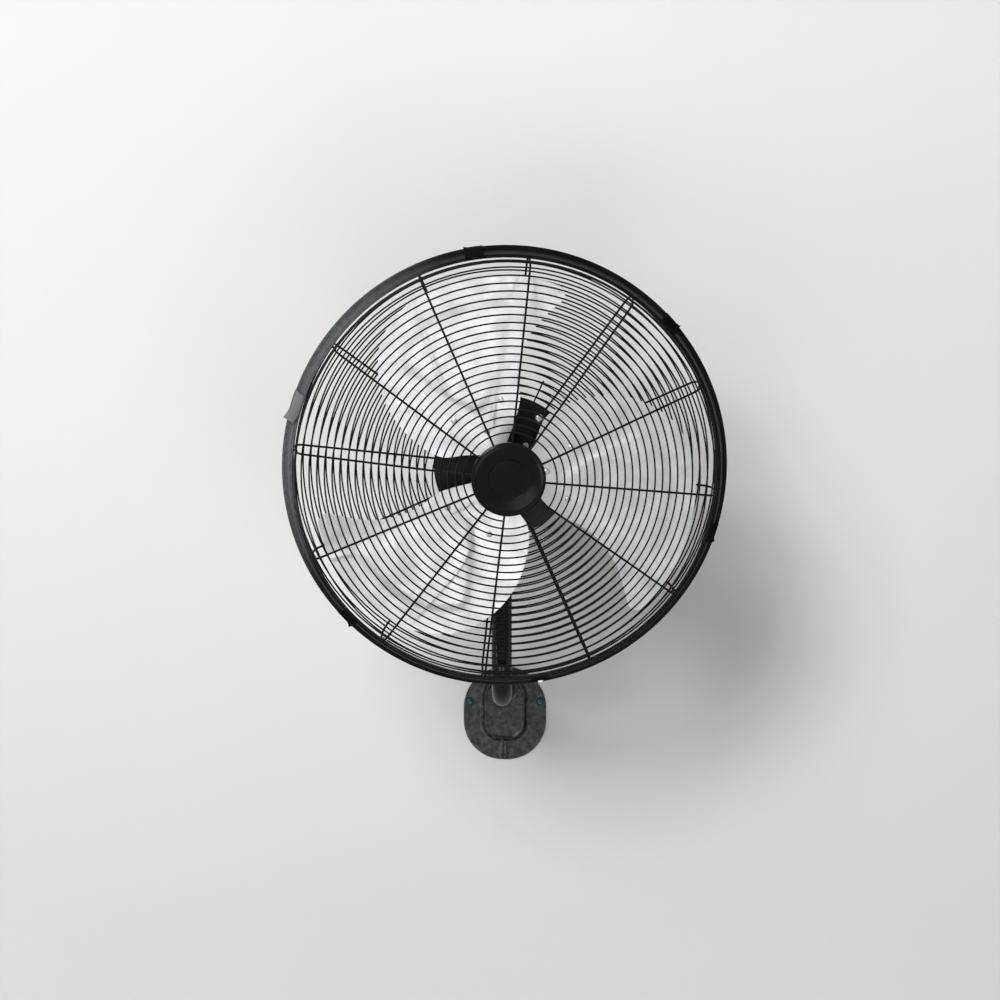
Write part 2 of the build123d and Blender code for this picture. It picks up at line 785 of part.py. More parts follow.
with BuildPart() as case:
    with BuildSketch(case_plane(case_floor)):
        with Locations(case_middle):
            RectangleRounded(2 * case_half_width, case_length, case_corner)
    extrude(amount=case_top - case_floor)
    with BuildSketch(case_plane(case_floor + case_wall)):
        with Locations(case_middle):
            RectangleRounded(
                2 * (case_half_width - case_wall), case_length - 2 * case_wall, case_corner - case_wall
            )
    extrude(amount=case_top - case_floor, mode=Mode.SUBTRACT)
    with BuildSketch(case_plane(case_floor)):
        with Locations(pan_spot):
            Circle(pan_pin_radius + socket_wall)
    extrude(amount=socket_top - case_floor)
    with BuildSketch(case_plane(case_floor)):
        with Locations(pan_spot):
            Circle(pan_pin_radius + run_gap)
        with Locations(crank_spot):
            Circle(crank_shaft_radius + run_gap)
    extrude(amount=socket_top - case_floor, mode=Mode.SUBTRACT)
    with BuildSketch(head.offset(case_front)):
        Circle(shaft_radius + 1.0)
    extrude(amount=-2 * case_wall, mode=Mode.SUBTRACT)
finish(case.part, "gearbox_case")

lid_floor = case_top + seat_gap

with BuildPart() as lid:
    with BuildSketch(case_plane(lid_floor)):
        with Locations(case_middle):
            RectangleRounded(2 * case_half_width, case_length, case_corner)
        with Locations(crank_spot):
            Circle(stem_radius + run_gap, mode=Mode.SUBTRACT)
    extrude(amount=case_wall)
finish(lid.part, "gearbox_lid")

with BuildPart() as worm:
    with BuildSketch(head.offset(worm_front)):
        Circle(worm_radius)
        Circle(shaft_radius + run_gap, mode=Mode.SUBTRACT)
    extrude(amount=-worm_length)
finish(worm.part, "worm")

shaft_floor = case_floor + case_wall + seat_gap

with BuildPart() as wheel:
    with BuildSketch(case_plane(-wheel_height / 2)):
        with Locations(wheel_spot):
            Circle(wheel_radius)
    extrude(amount=wheel_height)
    with BuildSketch(case_plane(shaft_floor)):
        with Locations(wheel_spot):
            Circle(wheel_shaft_radius)
    extrude(amount=-shaft_floor)
    with BuildSketch(case_plane(gear_level)):
        with Locations(wheel_spot):
            Circle(pinion_radius)
    extrude(amount=gear_height)
finish(wheel.part, "worm_wheel")


def neck_plane(height):
    """Level plane of the neck at a height over the fan axis, turned with the neck, not the head."""
    return Plane(origin=pan_pivot + neck.y_dir * height, x_dir=neck.x_dir, z_dir=neck.y_dir)


# Where the crank pin stands at rest: crank_throw from the crank axis, link_length from the link pin.
crank_local = Vector(-crank_back * pan_sine, crank_back * pan_cosine)
link_local = Vector(link_pin_offset, 0)
reach = (link_local - crank_local).length
toward_pin = (link_local - crank_local).normalized()
along_reach = (crank_throw**2 - link_length**2 + reach**2) / (2 * reach)
off_reach = sqrt(crank_throw**2 - along_reach**2)
crank_pin_local = crank_local + toward_pin * along_reach + Vector(-toward_pin.Y, toward_pin.X) * off_reach

crank_disc_top = case_floor - move_gap
crank_disc_floor = crank_disc_top - crank_disc_height
link_top = crank_disc_floor - 2 * move_gap
link_floor = link_top - link_wall

with BuildPart() as crank:
    with BuildSketch(neck_plane(gear_level)):
        with Locations(crank_local):
            Circle(gear_radius)
    extrude(amount=gear_height)
    with BuildSketch(neck_plane(crank_disc_top)):
        with Locations(crank_local):
            Circle(crank_shaft_radius)
    extrude(amount=gear_level - crank_disc_top)
    with BuildSketch(neck_plane(crank_disc_top)):
        with Locations(crank_local):
            Circle(crank_disc_radius)
    extrude(amount=-crank_disc_height)
    with BuildSketch(neck_plane(crank_disc_floor)):
        with Locations(crank_pin_local):
            Circle(link_pin_radius)
    extrude(amount=-move_gap)
finish(crank.part, "crank_gear")

link_dir = (crank_pin_local - link_local).normalized()
link_middle = (crank_pin_local + link_local) / 2
link_angle = degrees(atan2(link_dir.Y, link_dir.X))

with BuildPart() as link:
    with BuildSketch(neck_plane(link_floor)):
        with Locations(link_local, crank_pin_local):
            Circle(link_eye_radius)
        with Locations(Location(link_middle, (0, 0, link_angle))):
            Rectangle(link_length, link_eye_radius - 0.6)
        with Locations(link_local, crank_pin_local):
            Circle(link_pin_radius + run_gap, mode=Mode.SUBTRACT)
    extrude(amount=link_wall)
finish(link.part, "oscillation_link")

knob_radius = 9.0
knob_height = 20.0
cover_front = disc_back - seat_gap
cover_length = cover_front - cover_wall - cover_back
knob_front = knob_radius - pan_back - crank_back
cover_top = cover_radius - cover_taper * (cover_front - cover_wall - knob_front) / cover_length
knob_floor = cover_top + move_gap
stem_floor = gear_level + gear_height + move_gap

with BuildPart() as pull_knob:
    with BuildSketch(case_plane(stem_floor)):
        with Locations(crank_spot):
            Circle(stem_radius)
    extrude(amount=knob_floor - stem_floor)
    with BuildSketch(case_plane(knob_floor)):
        with Locations(crank_spot):
            Circle(knob_radius)
    extrude(amount=knob_height)
    fillet(pull_knob.edges().group_by(Axis(head.origin, head.y_dir))[-1], radius=2.5)
finish(pull_knob.part, "oscillation_knob")

# ---- motor cover and what is in it --------------------------------------------------------------
cover_bend = 18.0
neck_hole_radius = neck_radius + 5.0
vent_count = 6
vent_width = 5.0
vent_length = 40.0
vent_pitch = 13.0
switch_height = 48.0
switch_size = 20.0
switch_depth = 15.0
switch_shaft_radius = 3.0
inlet_height = -48.0
inlet_radius = 6.0

with BuildPart() as cover:
    with BuildSketch(section):
        with BuildLine():
            outer = FilletPolyline(
                (cover_radius, cover_front - cover_wall),
                (cover_radius - cover_taper, cover_back),
                (0, cover_back),
                radius=cover_bend,
            )
            inner = FilletPolyline(
                (0, cover_back + cover_wall),
                (cover_radius - cover_taper - cover_wall, cover_back + cover_wall),
                (cover_radius - cover_wall, cover_front),
                radius=cover_bend - cover_wall,
            )
            Line(outer @ 1, inner @ 0)
            Polyline(
                inner @ 1,
                (cover_flange_radius, cover_front),
                (cover_flange_radius, cover_front - cover_wall),
                outer @ 0,
            )
        make_face()
    revolve(axis=fan_axis)
    with BuildSketch(case_plane(0)):
        with Locations(pan_spot):
            Circle(neck_hole_radius)
    extrude(amount=-2 * cover_radius, mode=Mode.SUBTRACT)
    with BuildSketch(case_plane(0)):
        with Locations(crank_spot):
            Circle(stem_radius + run_gap)
    extrude(amount=2 * cover_radius, mode=Mode.SUBTRACT)
    with BuildSketch(head.offset(cover_back)):
        with Locations((0, switch_height)):
            Circle(switch_shaft_radius + run_gap)
        with Locations((0, inlet_height)):
            Circle(inlet_radius)
    extrude(amount=2 * cover_wall, mode=Mode.SUBTRACT)
    with BuildSketch(Plane(origin=head.origin, x_dir=head.z_dir, z_dir=head.x_dir)):
        with Locations((motor_split - vent_length / 2, 0)):
            with GridLocations(vent_length + vent_pitch, vent_pitch, 2, vent_count):
                SlotOverall(vent_length, vent_width)
    extrude(amount=2 * cover_radius, both=True, mode=Mode.SUBTRACT)
    with BuildSketch(head.offset(cover_front)):
        with PolarLocations(cover_screw_circle, cover_screw_count, start_angle=90 - spoke_start - 30):
            Circle(screw_radius + run_gap)
    extrude(amount=-2 * cover_wall, mode=Mode.SUBTRACT)
finish(cover.part, "motor_cover")

capacitor_width = 44.0
capacitor_height = 18.0
capacitor_length = 34.0

with BuildPart() as capacitor:
    with BuildSketch(case_plane(lid_floor + case_wall + seat_gap)):
        with Locations((0, pan_back + capacitor_length / 2 - socket_wall)):
            RectangleRounded(capacitor_width, capacitor_length, 4.0)
    extrude(amount=capacitor_height)
finish(capacitor.part, "motor_capacitor")

switch_front = cover_back + cover_wall + seat_gap
switch_knob_radius = 14.0
switch_knob_length = 16.0
switch_knob_front = cover_back - 2 * move_gap
pointer_width = 3.0

with BuildPart() as switch:
    with BuildSketch(head.offset(switch_front)):
        with Locations((0, switch_height)):
            RectangleRounded(switch_size, switch_size, 2.0)
            Circle(switch_shaft_radius + run_gap, mode=Mode.SUBTRACT)
    extrude(amount=switch_depth)
finish(switch.part, "speed_switch")

with BuildPart() as speed_knob:
    with BuildSketch(head.offset(switch_front + switch_depth - cover_wall)):
        with Locations((0, switch_height)):
            Circle(switch_shaft_radius)
    extrude(amount=switch_knob_front - switch_front - switch_depth + cover_wall)
    with BuildSketch(head.offset(switch_knob_front)):
        with Locations((0, switch_height)):
            Circle(switch_knob_radius)
    extrude(amount=-switch_knob_length / 2)
    with BuildSketch(head.offset(switch_knob_front - switch_knob_length / 2)):
        with Locations((0, switch_height)):
            SlotOverall(2 * switch_knob_radius - 2, 2 * pointer_width, rotation=90)
    extrude(amount=-switch_knob_length / 2, taper=4)
finish(speed_knob.part, "speed_knob")

with BuildPart() as inlet:
    with BuildSketch(head.offset(cover_back + 2 * cover_wall)):
        with Locations((0, inlet_height)):
            Circle(inlet_radius - seat_gap)
    extrude(amount=-3 * cover_wall)
    with BuildSketch(head.offset(cover_back - seat_gap)):
        with Locations((0, inlet_height)):
            Circle(inlet_radius + 3.0)
    extrude(amount=-cover_wall)
    with BuildSketch(head.offset(cover_back - 4 * cover_wall)):
        with Locations((0, inlet_height)):
            Circle(inlet_radius / 2)
    extrude(amount=8 * cover_wall, mode=Mode.SUBTRACT)
finish(inlet.part, "cord_inlet")

# ---- neck ---------------------------------------------------------------------------------------
neck_top = link_floor - move_gap
flange_height = 6.0
neck_shoulder = -tilt_drop + tongue_radius + 3.0
pin_foot = neck_shoulder + 6.0
spacer_radius = pan_pin_radius + 1.5
ring_width = 3.0
ring_thick = 1.5


with BuildPart() as tilt_neck:
    with BuildSketch(Plane(origin=tilt_pivot - neck.x_dir * tongue_width / 2, x_dir=neck.y_dir,
                           z_dir=neck.x_dir)):
        Circle(tongue_radius)
        with Locations(((tongue_radius + 3.0) / 2, 0)):
            Rectangle(tongue_radius + 3.0, 2 * tongue_radius)
    extrude(amount=tongue_width)
    with BuildSketch(neck_plane(neck_shoulder)):
        Circle(tongue_radius)
    extrude(amount=neck_top - neck_shoulder)
    with BuildSketch(neck_plane(neck_top - flange_height)):
        Circle(neck_radius)
    extrude(amount=flange_height)
    with BuildSketch(neck_plane(neck_top)):
        with Locations(link_local):
            Circle(link_pin_radius)
    extrude(amount=link_top - neck_top)
    with BuildSketch(neck_plane(pin_foot)):
        Circle(pan_pin_radius + run_gap)
    extrude(amount=neck_top - pin_foot, mode=Mode.SUBTRACT)
    with BuildSketch(Plane(origin=tilt_pivot, x_dir=neck.y_dir, z_dir=neck.x_dir)):
        Circle(tilt_bolt_radius + run_gap)
    extrude(amount=tongue_width, both=True, mode=Mode.SUBTRACT)
finish(tilt_neck.part, "tilt_neck")

with BuildPart() as pan_pin:
    with BuildSketch(neck_plane(pin_foot + seat_gap)):
        Circle(pan_pin_radius)
    extrude(amount=socket_top + 2 * ring_thick - pin_foot)
finish(pan_pin.part, "pan_pin")

with BuildPart() as spacer:
    with BuildSketch(neck_plane(neck_top + seat_gap)):
        Circle(spacer_radius)
        Circle(pan_pin_radius + run_gap, mode=Mode.SUBTRACT)
    extrude(amount=case_floor - neck_top - 3 * seat_gap)
finish(spacer.part, "pan_spacer")

with BuildPart() as retainer:
    with BuildSketch(neck_plane(socket_top + 2 * seat_gap)):
        Circle(pan_pin_radius + ring_width)
        Circle(pan_pin_radius + run_gap, mode=Mode.SUBTRACT)
    extrude(amount=ring_thick)
finish(retainer.part, "pan_retaining_ring")

# ---- yoke on top of the arm ---------------------------------------------------------------------
cheek_gap = 0.3
cheek_inner = tongue_width / 2 + cheek_gap
cheek_outer = cheek_inner + cheek_wall
yoke_floor = pivot_height - tongue_radius - 6.0
bridge_height = 4.0
tube_top = yoke_floor - bridge_height - seat_gap
sleeve_outer = tube_radius + sleeve_wall
arm_top = Plane(origin=(0, -tube_reach, tube_top), x_dir=(1, 0, 0), z_dir=(0, 0, 1))
tilt_side = Plane(origin=tilt_pivot, x_dir=(0, 1, 0), z_dir=(1, 0, 0))
clamp_screw_radius = 3.0

with BuildPart() as yoke:
    with BuildSketch(arm_top.offset(seat_gap)):
        Circle(sleeve_outer)
    extrude(amount=bridge_height)
    with BuildSketch(arm_top.offset(seat_gap - sleeve_length)):
        Circle(sleeve_outer)
    extrude(amount=sleeve_length)
    with BuildSketch(arm_top.offset(-sleeve_length)):
        Circle(tube_radius + run_gap)
    extrude(amount=sleeve_length + seat_gap, mode=Mode.SUBTRACT)
    for side in (-1, 1):
        with BuildSketch(tilt_side.offset(side * (cheek_inner + cheek_wall / 2) - cheek_wall / 2)):
            Circle(tongue_radius)
            with Locations((0, (yoke_floor - pivot_height - bridge_height) / 2)):
                Rectangle(2 * tongue_radius, pivot_height - yoke_floor + bridge_height)
        extrude(amount=cheek_wall)
    with BuildSketch(tilt_side):
        Circle(tilt_bolt_radius + run_gap)
    extrude(amount=cheek_outer + 1, both=True, mode=Mode.SUBTRACT)
    with BuildSketch(Plane(origin=(0, -tube_reach, tube_top - sleeve_length / 2), z_dir=(0, 1, 0))):
        Circle(clamp_screw_radius + run_gap)
    extrude(amount=sleeve_outer + 1, mode=Mode.SUBTRACT)
finish(yoke.part, "tube_yoke")

with BuildPart() as clamp_screw:
    with BuildSketch(Plane(origin=(0, tube_radius + seat_gap - tube_reach, tube_top - sleeve_length / 2),
                           z_dir=(0, 1, 0))):
        Circle(clamp_screw_radius)
    extrude(amount=sleeve_wall + 1.0)
    with BuildSketch(Plane(origin=(0, sleeve_outer + 2 * seat_gap - tube_reach, tube_top - sleeve_length / 2),
                           z_dir=(0, 1, 0))):
        RegularPolygon(radius=5.8, side_count=6)
    extrude(amount=4.0)
finish(clamp_screw.part, "yoke_clamp_screw")

bolt_head_height = 6.0
bolt_end = cheek_outer + 12.0
tilt_knob_radius = 16.0
tilt_knob_length = 16.0
tilt_knob_lobes = 5

with BuildPart() as tilt_bolt:
    with BuildSketch(tilt_side.offset(-cheek_outer - seat_gap)):
        Circle(tilt_bolt_radius)
    extrude(amount=cheek_outer + seat_gap + bolt_end)
    with BuildSketch(tilt_side.offset(-cheek_outer - seat_gap)):
        RegularPolygon(radius=9.5, side_count=6)
    extrude(amount=-bolt_head_height)
finish(tilt_bolt.part, "tilt_bolt")

with BuildPart() as tilt_knob:
    with BuildSketch(tilt_side.offset(cheek_outer + move_gap)):
        Circle(tilt_knob_radius - 4.0)
        with PolarLocations(tilt_knob_radius - 4.0, tilt_knob_lobes):
            Circle(4.5)
    extrude(amount=tilt_knob_length)
    with BuildSketch(tilt_side.offset(cheek_outer)):
        Circle(tilt_bolt_radius + run_gap)
    extrude(amount=bolt_end - cheek_outer + move_gap, mode=Mode.SUBTRACT)
finish(tilt_knob.part, "tilt_knob")

# ---- wall plate and arm tube --------------------------------------------------------------------
wall = Plane(origin=(0, 0, 0), x_dir=(1, 0, 0), z_dir=(0, -1, 0))
plate_half = plate_width / 2
plateau_half = plateau_width / 2
plate_corner = 0.94 * plate_half
plateau_corner = 0.86 * plateau_half
plateau_taper = 35.0
channel_width = 8.0
channel_depth = 2.0


def plate_outline(half, top, bottom, corner):
    """Plate with a round top and rounded lower corners; half is also the top's radius."""
    shoulder = top - half
    dome = ThreePointArc((half, shoulder), (0, top), (-half, shoulder))
    FilletPolyline(dome @ 1, (-half, bottom), (half, bottom), dome @ 0, radius=corner)


with BuildPart() as wall_plate:
    with BuildSketch(wall):
        with BuildLine():
            plate_outline(plate_half, plate_top, plate_bottom, plate_corner)
        make_face()
    extrude(amount=plate_sheet)
    fillet(wall_plate.edges().group_by(Axis.Y)[0], radius=plate_sheet / 2)
    with BuildSketch(wall):
        with BuildLine():
            plate_outline(plateau_half, plateau_top, plateau_bottom, plateau_corner)
        make_face()
    extrude(amount=plateau_height, taper=plateau_taper / 2)
    with BuildSketch(wall):
        with BuildLine():
            plate_outline(plateau_half - plate_sheet, plateau_top - plate_sheet,
                          plateau_bottom + plate_sheet, plateau_corner - plate_sheet)
        make_face()
    extrude(amount=plateau_height - plate_sheet, taper=plateau_taper / 2, mode=Mode.SUBTRACT)
    with BuildSketch(wall.offset(plate_sheet - seat_gap)):
        with Locations((0, (plate_bottom + plateau_bottom) / 2 + 2.0)):
            Rectangle(channel_width, plateau_bottom - plate_bottom - 4.0)
    extrude(amount=channel_depth)
    with BuildSketch(wall):
        with Locations((-screw_spacing / 2, 0), (screw_spacing / 2, 0)):
            Circle(screw_hole_radius)
        with Locations((0, tube_rise)):
            Circle(tube_radius + seat_gap)
    extrude(amount=plateau_height + 1, mode=Mode.SUBTRACT)
finish(wall_plate.part, "wall_plate")

collar_width = 4.0
collar_height = 4.0

with BuildPart() as collar:
    with BuildSketch(wall.offset(plateau_height + seat_gap)):
        with Locations((0, tube_rise)):
            Circle(tube_radius + collar_width)
            Circle(tube_radius + seat_gap, mode=Mode.SUBTRACT)
    extrude(amount=collar_height)
    chamfer(collar.edges().group_by(Axis.Y)[0].sort_by(SortBy.LENGTH)[-1], length=collar_width - 1.0)
finish(collar.part, "tube_weld_collar")

with BuildPart() as tube:
    with BuildLine() as route:
        FilletPolyline(
            (0, -1.0, tube_rise),
            (0, -tube_reach, tube_rise),
            (0, -tube_reach, tube_top),
            radius=tube_bend,
        )
    with BuildSketch(Plane(origin=(0, -1.0, tube_rise), x_dir=(1, 0, 0), z_dir=(0, -1, 0))):
        Circle(tube_radius)
        Circle(tube_radius - tube_wall, mode=Mode.SUBTRACT)
    sweep(path=route.line)
finish(tube.part, "arm_tube")
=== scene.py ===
import json
from math import atan2, ceil, cos, pi, radians, sin, sqrt, tan
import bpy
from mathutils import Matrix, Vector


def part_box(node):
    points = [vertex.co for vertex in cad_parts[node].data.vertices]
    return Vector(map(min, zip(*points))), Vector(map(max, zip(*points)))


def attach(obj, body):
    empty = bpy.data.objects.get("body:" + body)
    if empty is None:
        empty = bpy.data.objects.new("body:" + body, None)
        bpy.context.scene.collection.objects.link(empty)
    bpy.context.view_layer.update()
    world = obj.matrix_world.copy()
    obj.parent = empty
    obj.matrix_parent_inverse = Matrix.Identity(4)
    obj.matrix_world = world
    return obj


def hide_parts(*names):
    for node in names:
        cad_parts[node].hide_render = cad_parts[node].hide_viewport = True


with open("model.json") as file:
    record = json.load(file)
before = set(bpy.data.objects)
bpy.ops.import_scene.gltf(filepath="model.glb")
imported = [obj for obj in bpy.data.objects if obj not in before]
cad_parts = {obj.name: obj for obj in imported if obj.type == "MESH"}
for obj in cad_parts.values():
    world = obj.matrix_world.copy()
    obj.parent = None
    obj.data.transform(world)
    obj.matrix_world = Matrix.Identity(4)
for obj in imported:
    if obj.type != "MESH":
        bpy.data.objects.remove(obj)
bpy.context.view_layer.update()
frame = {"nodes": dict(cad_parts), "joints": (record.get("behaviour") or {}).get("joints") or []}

from types import SimpleNamespace

import bmesh
import bpy
import numpy as np
from bpy.props import FloatProperty, FloatVectorProperty, IntProperty, PointerProperty
from mathutils import Matrix, Vector

bl_info = {
    "name": "Wall Fan Model",
    "version": (1, 0, 0),
    "blender": (4, 5, 0),
    "location": "3D View > Sidebar > Wall Fan",
    "description": "Builds the visible pieces of a wall mounted fan round its packed frame",
    "category": "Object",
}

MM = 0.001
SEAT = 0.1 * MM           # gap left between pieces that lie on each other

# ---- where the frame stands ---------------------------------------------------------------------
JOINTS = {joint["name"]: joint for joint in frame["joints"]}
NODES = frame["nodes"]


def joint_place(name):
    """Pivot and axis of a joint at rest."""
    return Vector(JOINTS[name]["pos_m"]), Vector(JOINTS[name]["axis"]).normalized()


def frame_matrix(origin, right, up, out):
    """Matrix from local x right, y up, z out to the shared frame."""
    return Matrix.Translation(origin) @ Matrix((right, up, out)).transposed().to_4x4()


HUB, FORWARD = joint_place("blade_spin")
UPWARD = joint_place("pan")[1]
# The head's own frame: the fan seen from the front, z out of the cap, origin on the blades' axis.
HEAD = frame_matrix(HUB, UPWARD.cross(FORWARD), UPWARD, FORWARD)
# The wall's frame: x right, y up, z away from the wall.
WALL = frame_matrix(Vector((0, 0, 0)), Vector((1, 0, 0)), Vector((0, 0, 1)), Vector((0, -1, 0)))


# ---- settings -----------------------------------------------------------------------------------
def length(name, description, default):
    """A size in metres."""
    return FloatProperty(name=name, description=description, default=default, min=0.0,
                         subtype="DISTANCE", unit="LENGTH", precision=5)


def colour(name, description, default):
    """A paint or metal colour."""
    return FloatVectorProperty(name=name, description=description, default=default, size=3,
                               subtype="COLOR", min=0.0, max=1.0)


def turn(name, description, default):
    """An angle, given here in degrees."""
    return FloatProperty(name=name, description=description, default=radians(default),
                         subtype="ANGLE", unit="ROTATION")


def power(name, description, default):
    """A lamp's power in watts."""
    return FloatProperty(name=name, description=description, default=default, unit="POWER")


class CageSettings(bpy.types.PropertyGroup):
    """Sizes of the wire cage and its rim."""
    rim_radius: length("Rim radius", "Outside of the rim band at its back", 0.3315)
    rim_flare: length("Rim flare", "How much smaller the band is at its front", 0.014)
    rim_width: length("Rim width", "Rim band along the fan axis", 0.030)
    front_lip: length("Front lip", "How far the band's front lip reaches inwards", 0.003)
    rear_lip: length("Rear lip", "How far the band's rear lip reaches inwards", 0.012)
    rim_bead: length("Rim bead", "Radius of the bead rolled along the band's back", 0.003)
    rim_sheet: length("Rim sheet", "Thickness of the band", 0.0015)
    spoke: length("Spoke", "Diameter of the guards' spokes", 0.0032)
    wire: length("Wire", "Diameter of the spiral wires", 0.0024)
    pitch: length("Wire pitch", "Spacing of the spirals' turns", 0.0113)
    spokes: IntProperty(name="Spokes", description="Spokes of each guard", default=12, min=3)
    spoke_turn: turn("First spoke", "First spoke, clockwise from the top", 6.5)
    front_depth: length("Front depth", "Joint plane to the cap's face", 0.090)
    front_shoulder: length("Front shoulder", "Height of the front guard's shoulder", 0.044)
    rear_depth: length("Rear depth", "Joint plane to the rear spokes", 0.045)
    front_inset: length("Front inset", "Front guard's shoulder inside the rim", 0.024)
    rear_inset: length("Rear inset", "Rear guard's shoulder inside the rim", 0.019)
    clip_length: length("Clip length", "Length of a clip round the rim", 0.028)
    coat: colour("Coat", "Black powder coat of the wires and rim", (0.0042, 0.0044, 0.005))


class CapSettings(bpy.types.PropertyGroup):
    """Sizes of the cap and of the disc in the rear guard."""
    radius: length("Cap radius", "Outside of the front cap", 0.054)
    step_radius: length("Step radius", "Edge of the cap's sunk middle", 0.031)
    height: length("Cap height", "Height of the cap's side", 0.0062)
    disc_radius: length("Disc radius", "Disc in the middle of the rear guard", 0.106)
    plastic: colour("Plastic", "Black plastic of the cap", (0.0035, 0.0035, 0.004))


class BladeSettings(bpy.types.PropertyGroup):
    """Sizes of the aluminium blades."""
    tip_radius: length("Tip radius", "Fan axis to the blades' tips", 0.290)
    sheet: length("Sheet", "Thickness of a blade", 0.0015)
    camber_radius: length("Camber radius", "Radius of the blades' curve", 1.200)
    pitch: turn("Pitch", "Twist of a blade at its middle line", 11.5)
    first: turn("First blade", "Middle line of the first blade, clockwise from the top", 95.0)
    plane: FloatProperty(name="Blade plane", description="Where the middle lines cross the fan axis",
                         default=-0.016, subtype="DISTANCE", unit="LENGTH", precision=4)
    panel_rise: length("Panel rise", "Height of the panel pressed into a blade", 0.0019)
    crease_rise: length("Crease rise", "Height of the creases beside the panel", 0.0009)
    metal: colour("Metal", "Brushed aluminium of the blades", (0.70, 0.712, 0.728))


class ArmSettings(bpy.types.PropertyGroup):
    """Sizes of the arm tube and the wall plate."""
    tube_radius: length("Tube radius", "Outside of the arm tube", 0.016)
    bend: length("Bend", "Middle line radius of the elbow", 0.060)
    rise: length("Rise", "Level part of the tube above the wall screws", 0.021)
    reach: length("Reach", "Wall to the upright part of the tube", 0.210)
    plate_width: length("Plate width", "Width of the wall plate", 0.136)
    plateau_height: length("Plateau height", "Height of the plate's raised middle", 0.012)
    screw_spacing: length("Screw spacing", "Distance between the wall screws", 0.116)
    enamel: colour("Enamel", "Gloss black of the arm tube", (0.004, 0.004, 0.0045))


class StageSettings(bpy.types.PropertyGroup):
    """Camera, wall, floor and lamps."""
    distance: length("Distance", "Camera to the middle of the cage", 3.200)
    camera_turn: turn("Camera turn", "Camera round the vertical", 1.5)
    camera_height: length("Camera height", "Camera above the wall screws", 0.3336)
    wall: colour("Wall", "Pale paint of the wall and floor", (0.85, 0.85, 0.84))
    key: power("Key", "Power of the key lamp", 1090.0)
    fill: power("Fill", "Power of the fill lamp", 9.0)
    card: power("Card", "Power of the low lamp at the left", 12.0)
    edge: power("Edge", "Power of the lamp far to the left", 4.5)
    sky: FloatProperty(name="Sky", description="Strength of the world's light", default=0.08)
    seen_sky: FloatProperty(name="Seen sky", description="Strength of the world where it is seen",
                            default=0.85)


# ---- mesh making --------------------------------------------------------------------------------
# A part is a pair: a list of points in local metres, and a list of faces as tuples of point numbers.
SHARP_EDGE = radians(40)
ON_AXIS = 1e-7            # a lathe's points nearer to its axis than this are one point
STRAIGHT = 1e-4           # a corner that turns by less than about this stays as it is


def face_outwards(mesh):
    """Winds the faces of each closed stretch of the mesh so that they look outwards."""
    shell = bmesh.new()
    shell.from_mesh(mesh)
    bmesh.ops.recalc_face_normals(shell, faces=shell.faces)
    shell.to_mesh(mesh)
    shell.free()


def add_piece(name, part, body, material, node=None, matrix=HEAD):
    """A mesh made from a part, which rides on a body and may stand for a CAD node."""
    points, faces = part
    mesh = bpy.data.meshes.new(name)
    mesh.from_pydata([matrix @ Vector(point) for point in points], [], faces)
    mesh.validate()
    face_outwards(mesh)
    mesh.update()
    mesh.materials.append(material)
    mesh.shade_smooth()
    piece = bpy.data.objects.new(name, mesh)
    bpy.context.scene.collection.objects.link(piece)
    mesh.set_sharp_from_angle(angle=SHARP_EDGE)
    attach(piece, body)
    if node:
        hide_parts(node)


def merge(parts):
    """Joins parts into one."""
    points, faces = [], []
    for more_points, more_faces in parts:
        base = len(points)
        points.extend(more_points)
        faces.extend([tuple(base + corner for corner in face) for face in more_faces])
    return points, faces


def moved(part, matrix):
    """A copy of a part placed by a matrix."""
    points, faces = part
    return [matrix @ Vector(point) for point in points], faces


def stand(centre, normal):
    """Matrix that stands a part on a surface."""
    return Matrix.Translation(centre) @ normal.to_track_quat("Z", "Y").to_matrix().to_4x4()


def at_azimuth(radius, height, azimuth):
    """Point at an azimuth clockwise from the top, in radians, of a frame seen from its front."""
    return Vector((radius * sin(azimuth), radius * cos(azimuth), height))


def rounded(corners, steps):
    """Path through (x, y, radius) corners, each rounded by its radius. An open path's ends have 0."""
    spots = [Vector(corner[:2]) for corner in corners]
    points = []
    for number, corner in enumerate(spots):
        radius = corners[number][2]
        before = (spots[number - 1] - corner).normalized()
        after = (spots[(number + 1) % len(spots)] - corner).normalized()
        half = before.angle(after) / 2
        if radius <= 0 or abs(half - pi / 2) < STRAIGHT:
            points.append(corner)
            continue
        centre = corner + (before + after).normalized() * (radius / sin(half))
        start = corner + before * (radius / tan(half)) - centre
        end = corner + after * (radius / tan(half)) - centre
        sweep = start.angle(end)
        for step in range(steps + 1):
            share = step / steps
            spot = start * sin((1 - share) * sweep) + end * sin(share * sweep)
            points.append(centre + spot / sin(sweep))
    return points


def skin(rings, close=False):
    """Part over rings of points. It runs back to the first ring, or else its ends are closed."""
    sides = max(len(ring) for ring in rings)
    points, rows, faces = [], [], []
    for ring in rings:
        rows.append([len(points) + number % len(ring) for number in range(sides)])
        points += ring
    for low, high in zip(rows, rows[1:] + rows[:1] if close else rows[1:]):
        for number in range(sides):
            after = (number + 1) % sides
            face = tuple(dict.fromkeys((low[number], low[after], high[after], high[number])))
            if len(face) > 2:
                faces.append(face)
    for row in () if close else (rows[0][::-1], rows[-1]):
        if row[0] != row[1]:
            faces.append(tuple(row))
    return points, faces


def lathe(profile, segments, close=True):
    """Revolves (radius, height) points round the z axis. A closed profile makes a ring."""
    rings = []
    for radius, height in profile:
        count = 1 if radius < ON_AXIS else segments
        rings.append([at_azimuth(radius, height, 2 * pi * number / segments) for number in range(count)])
    return skin(rings, close)


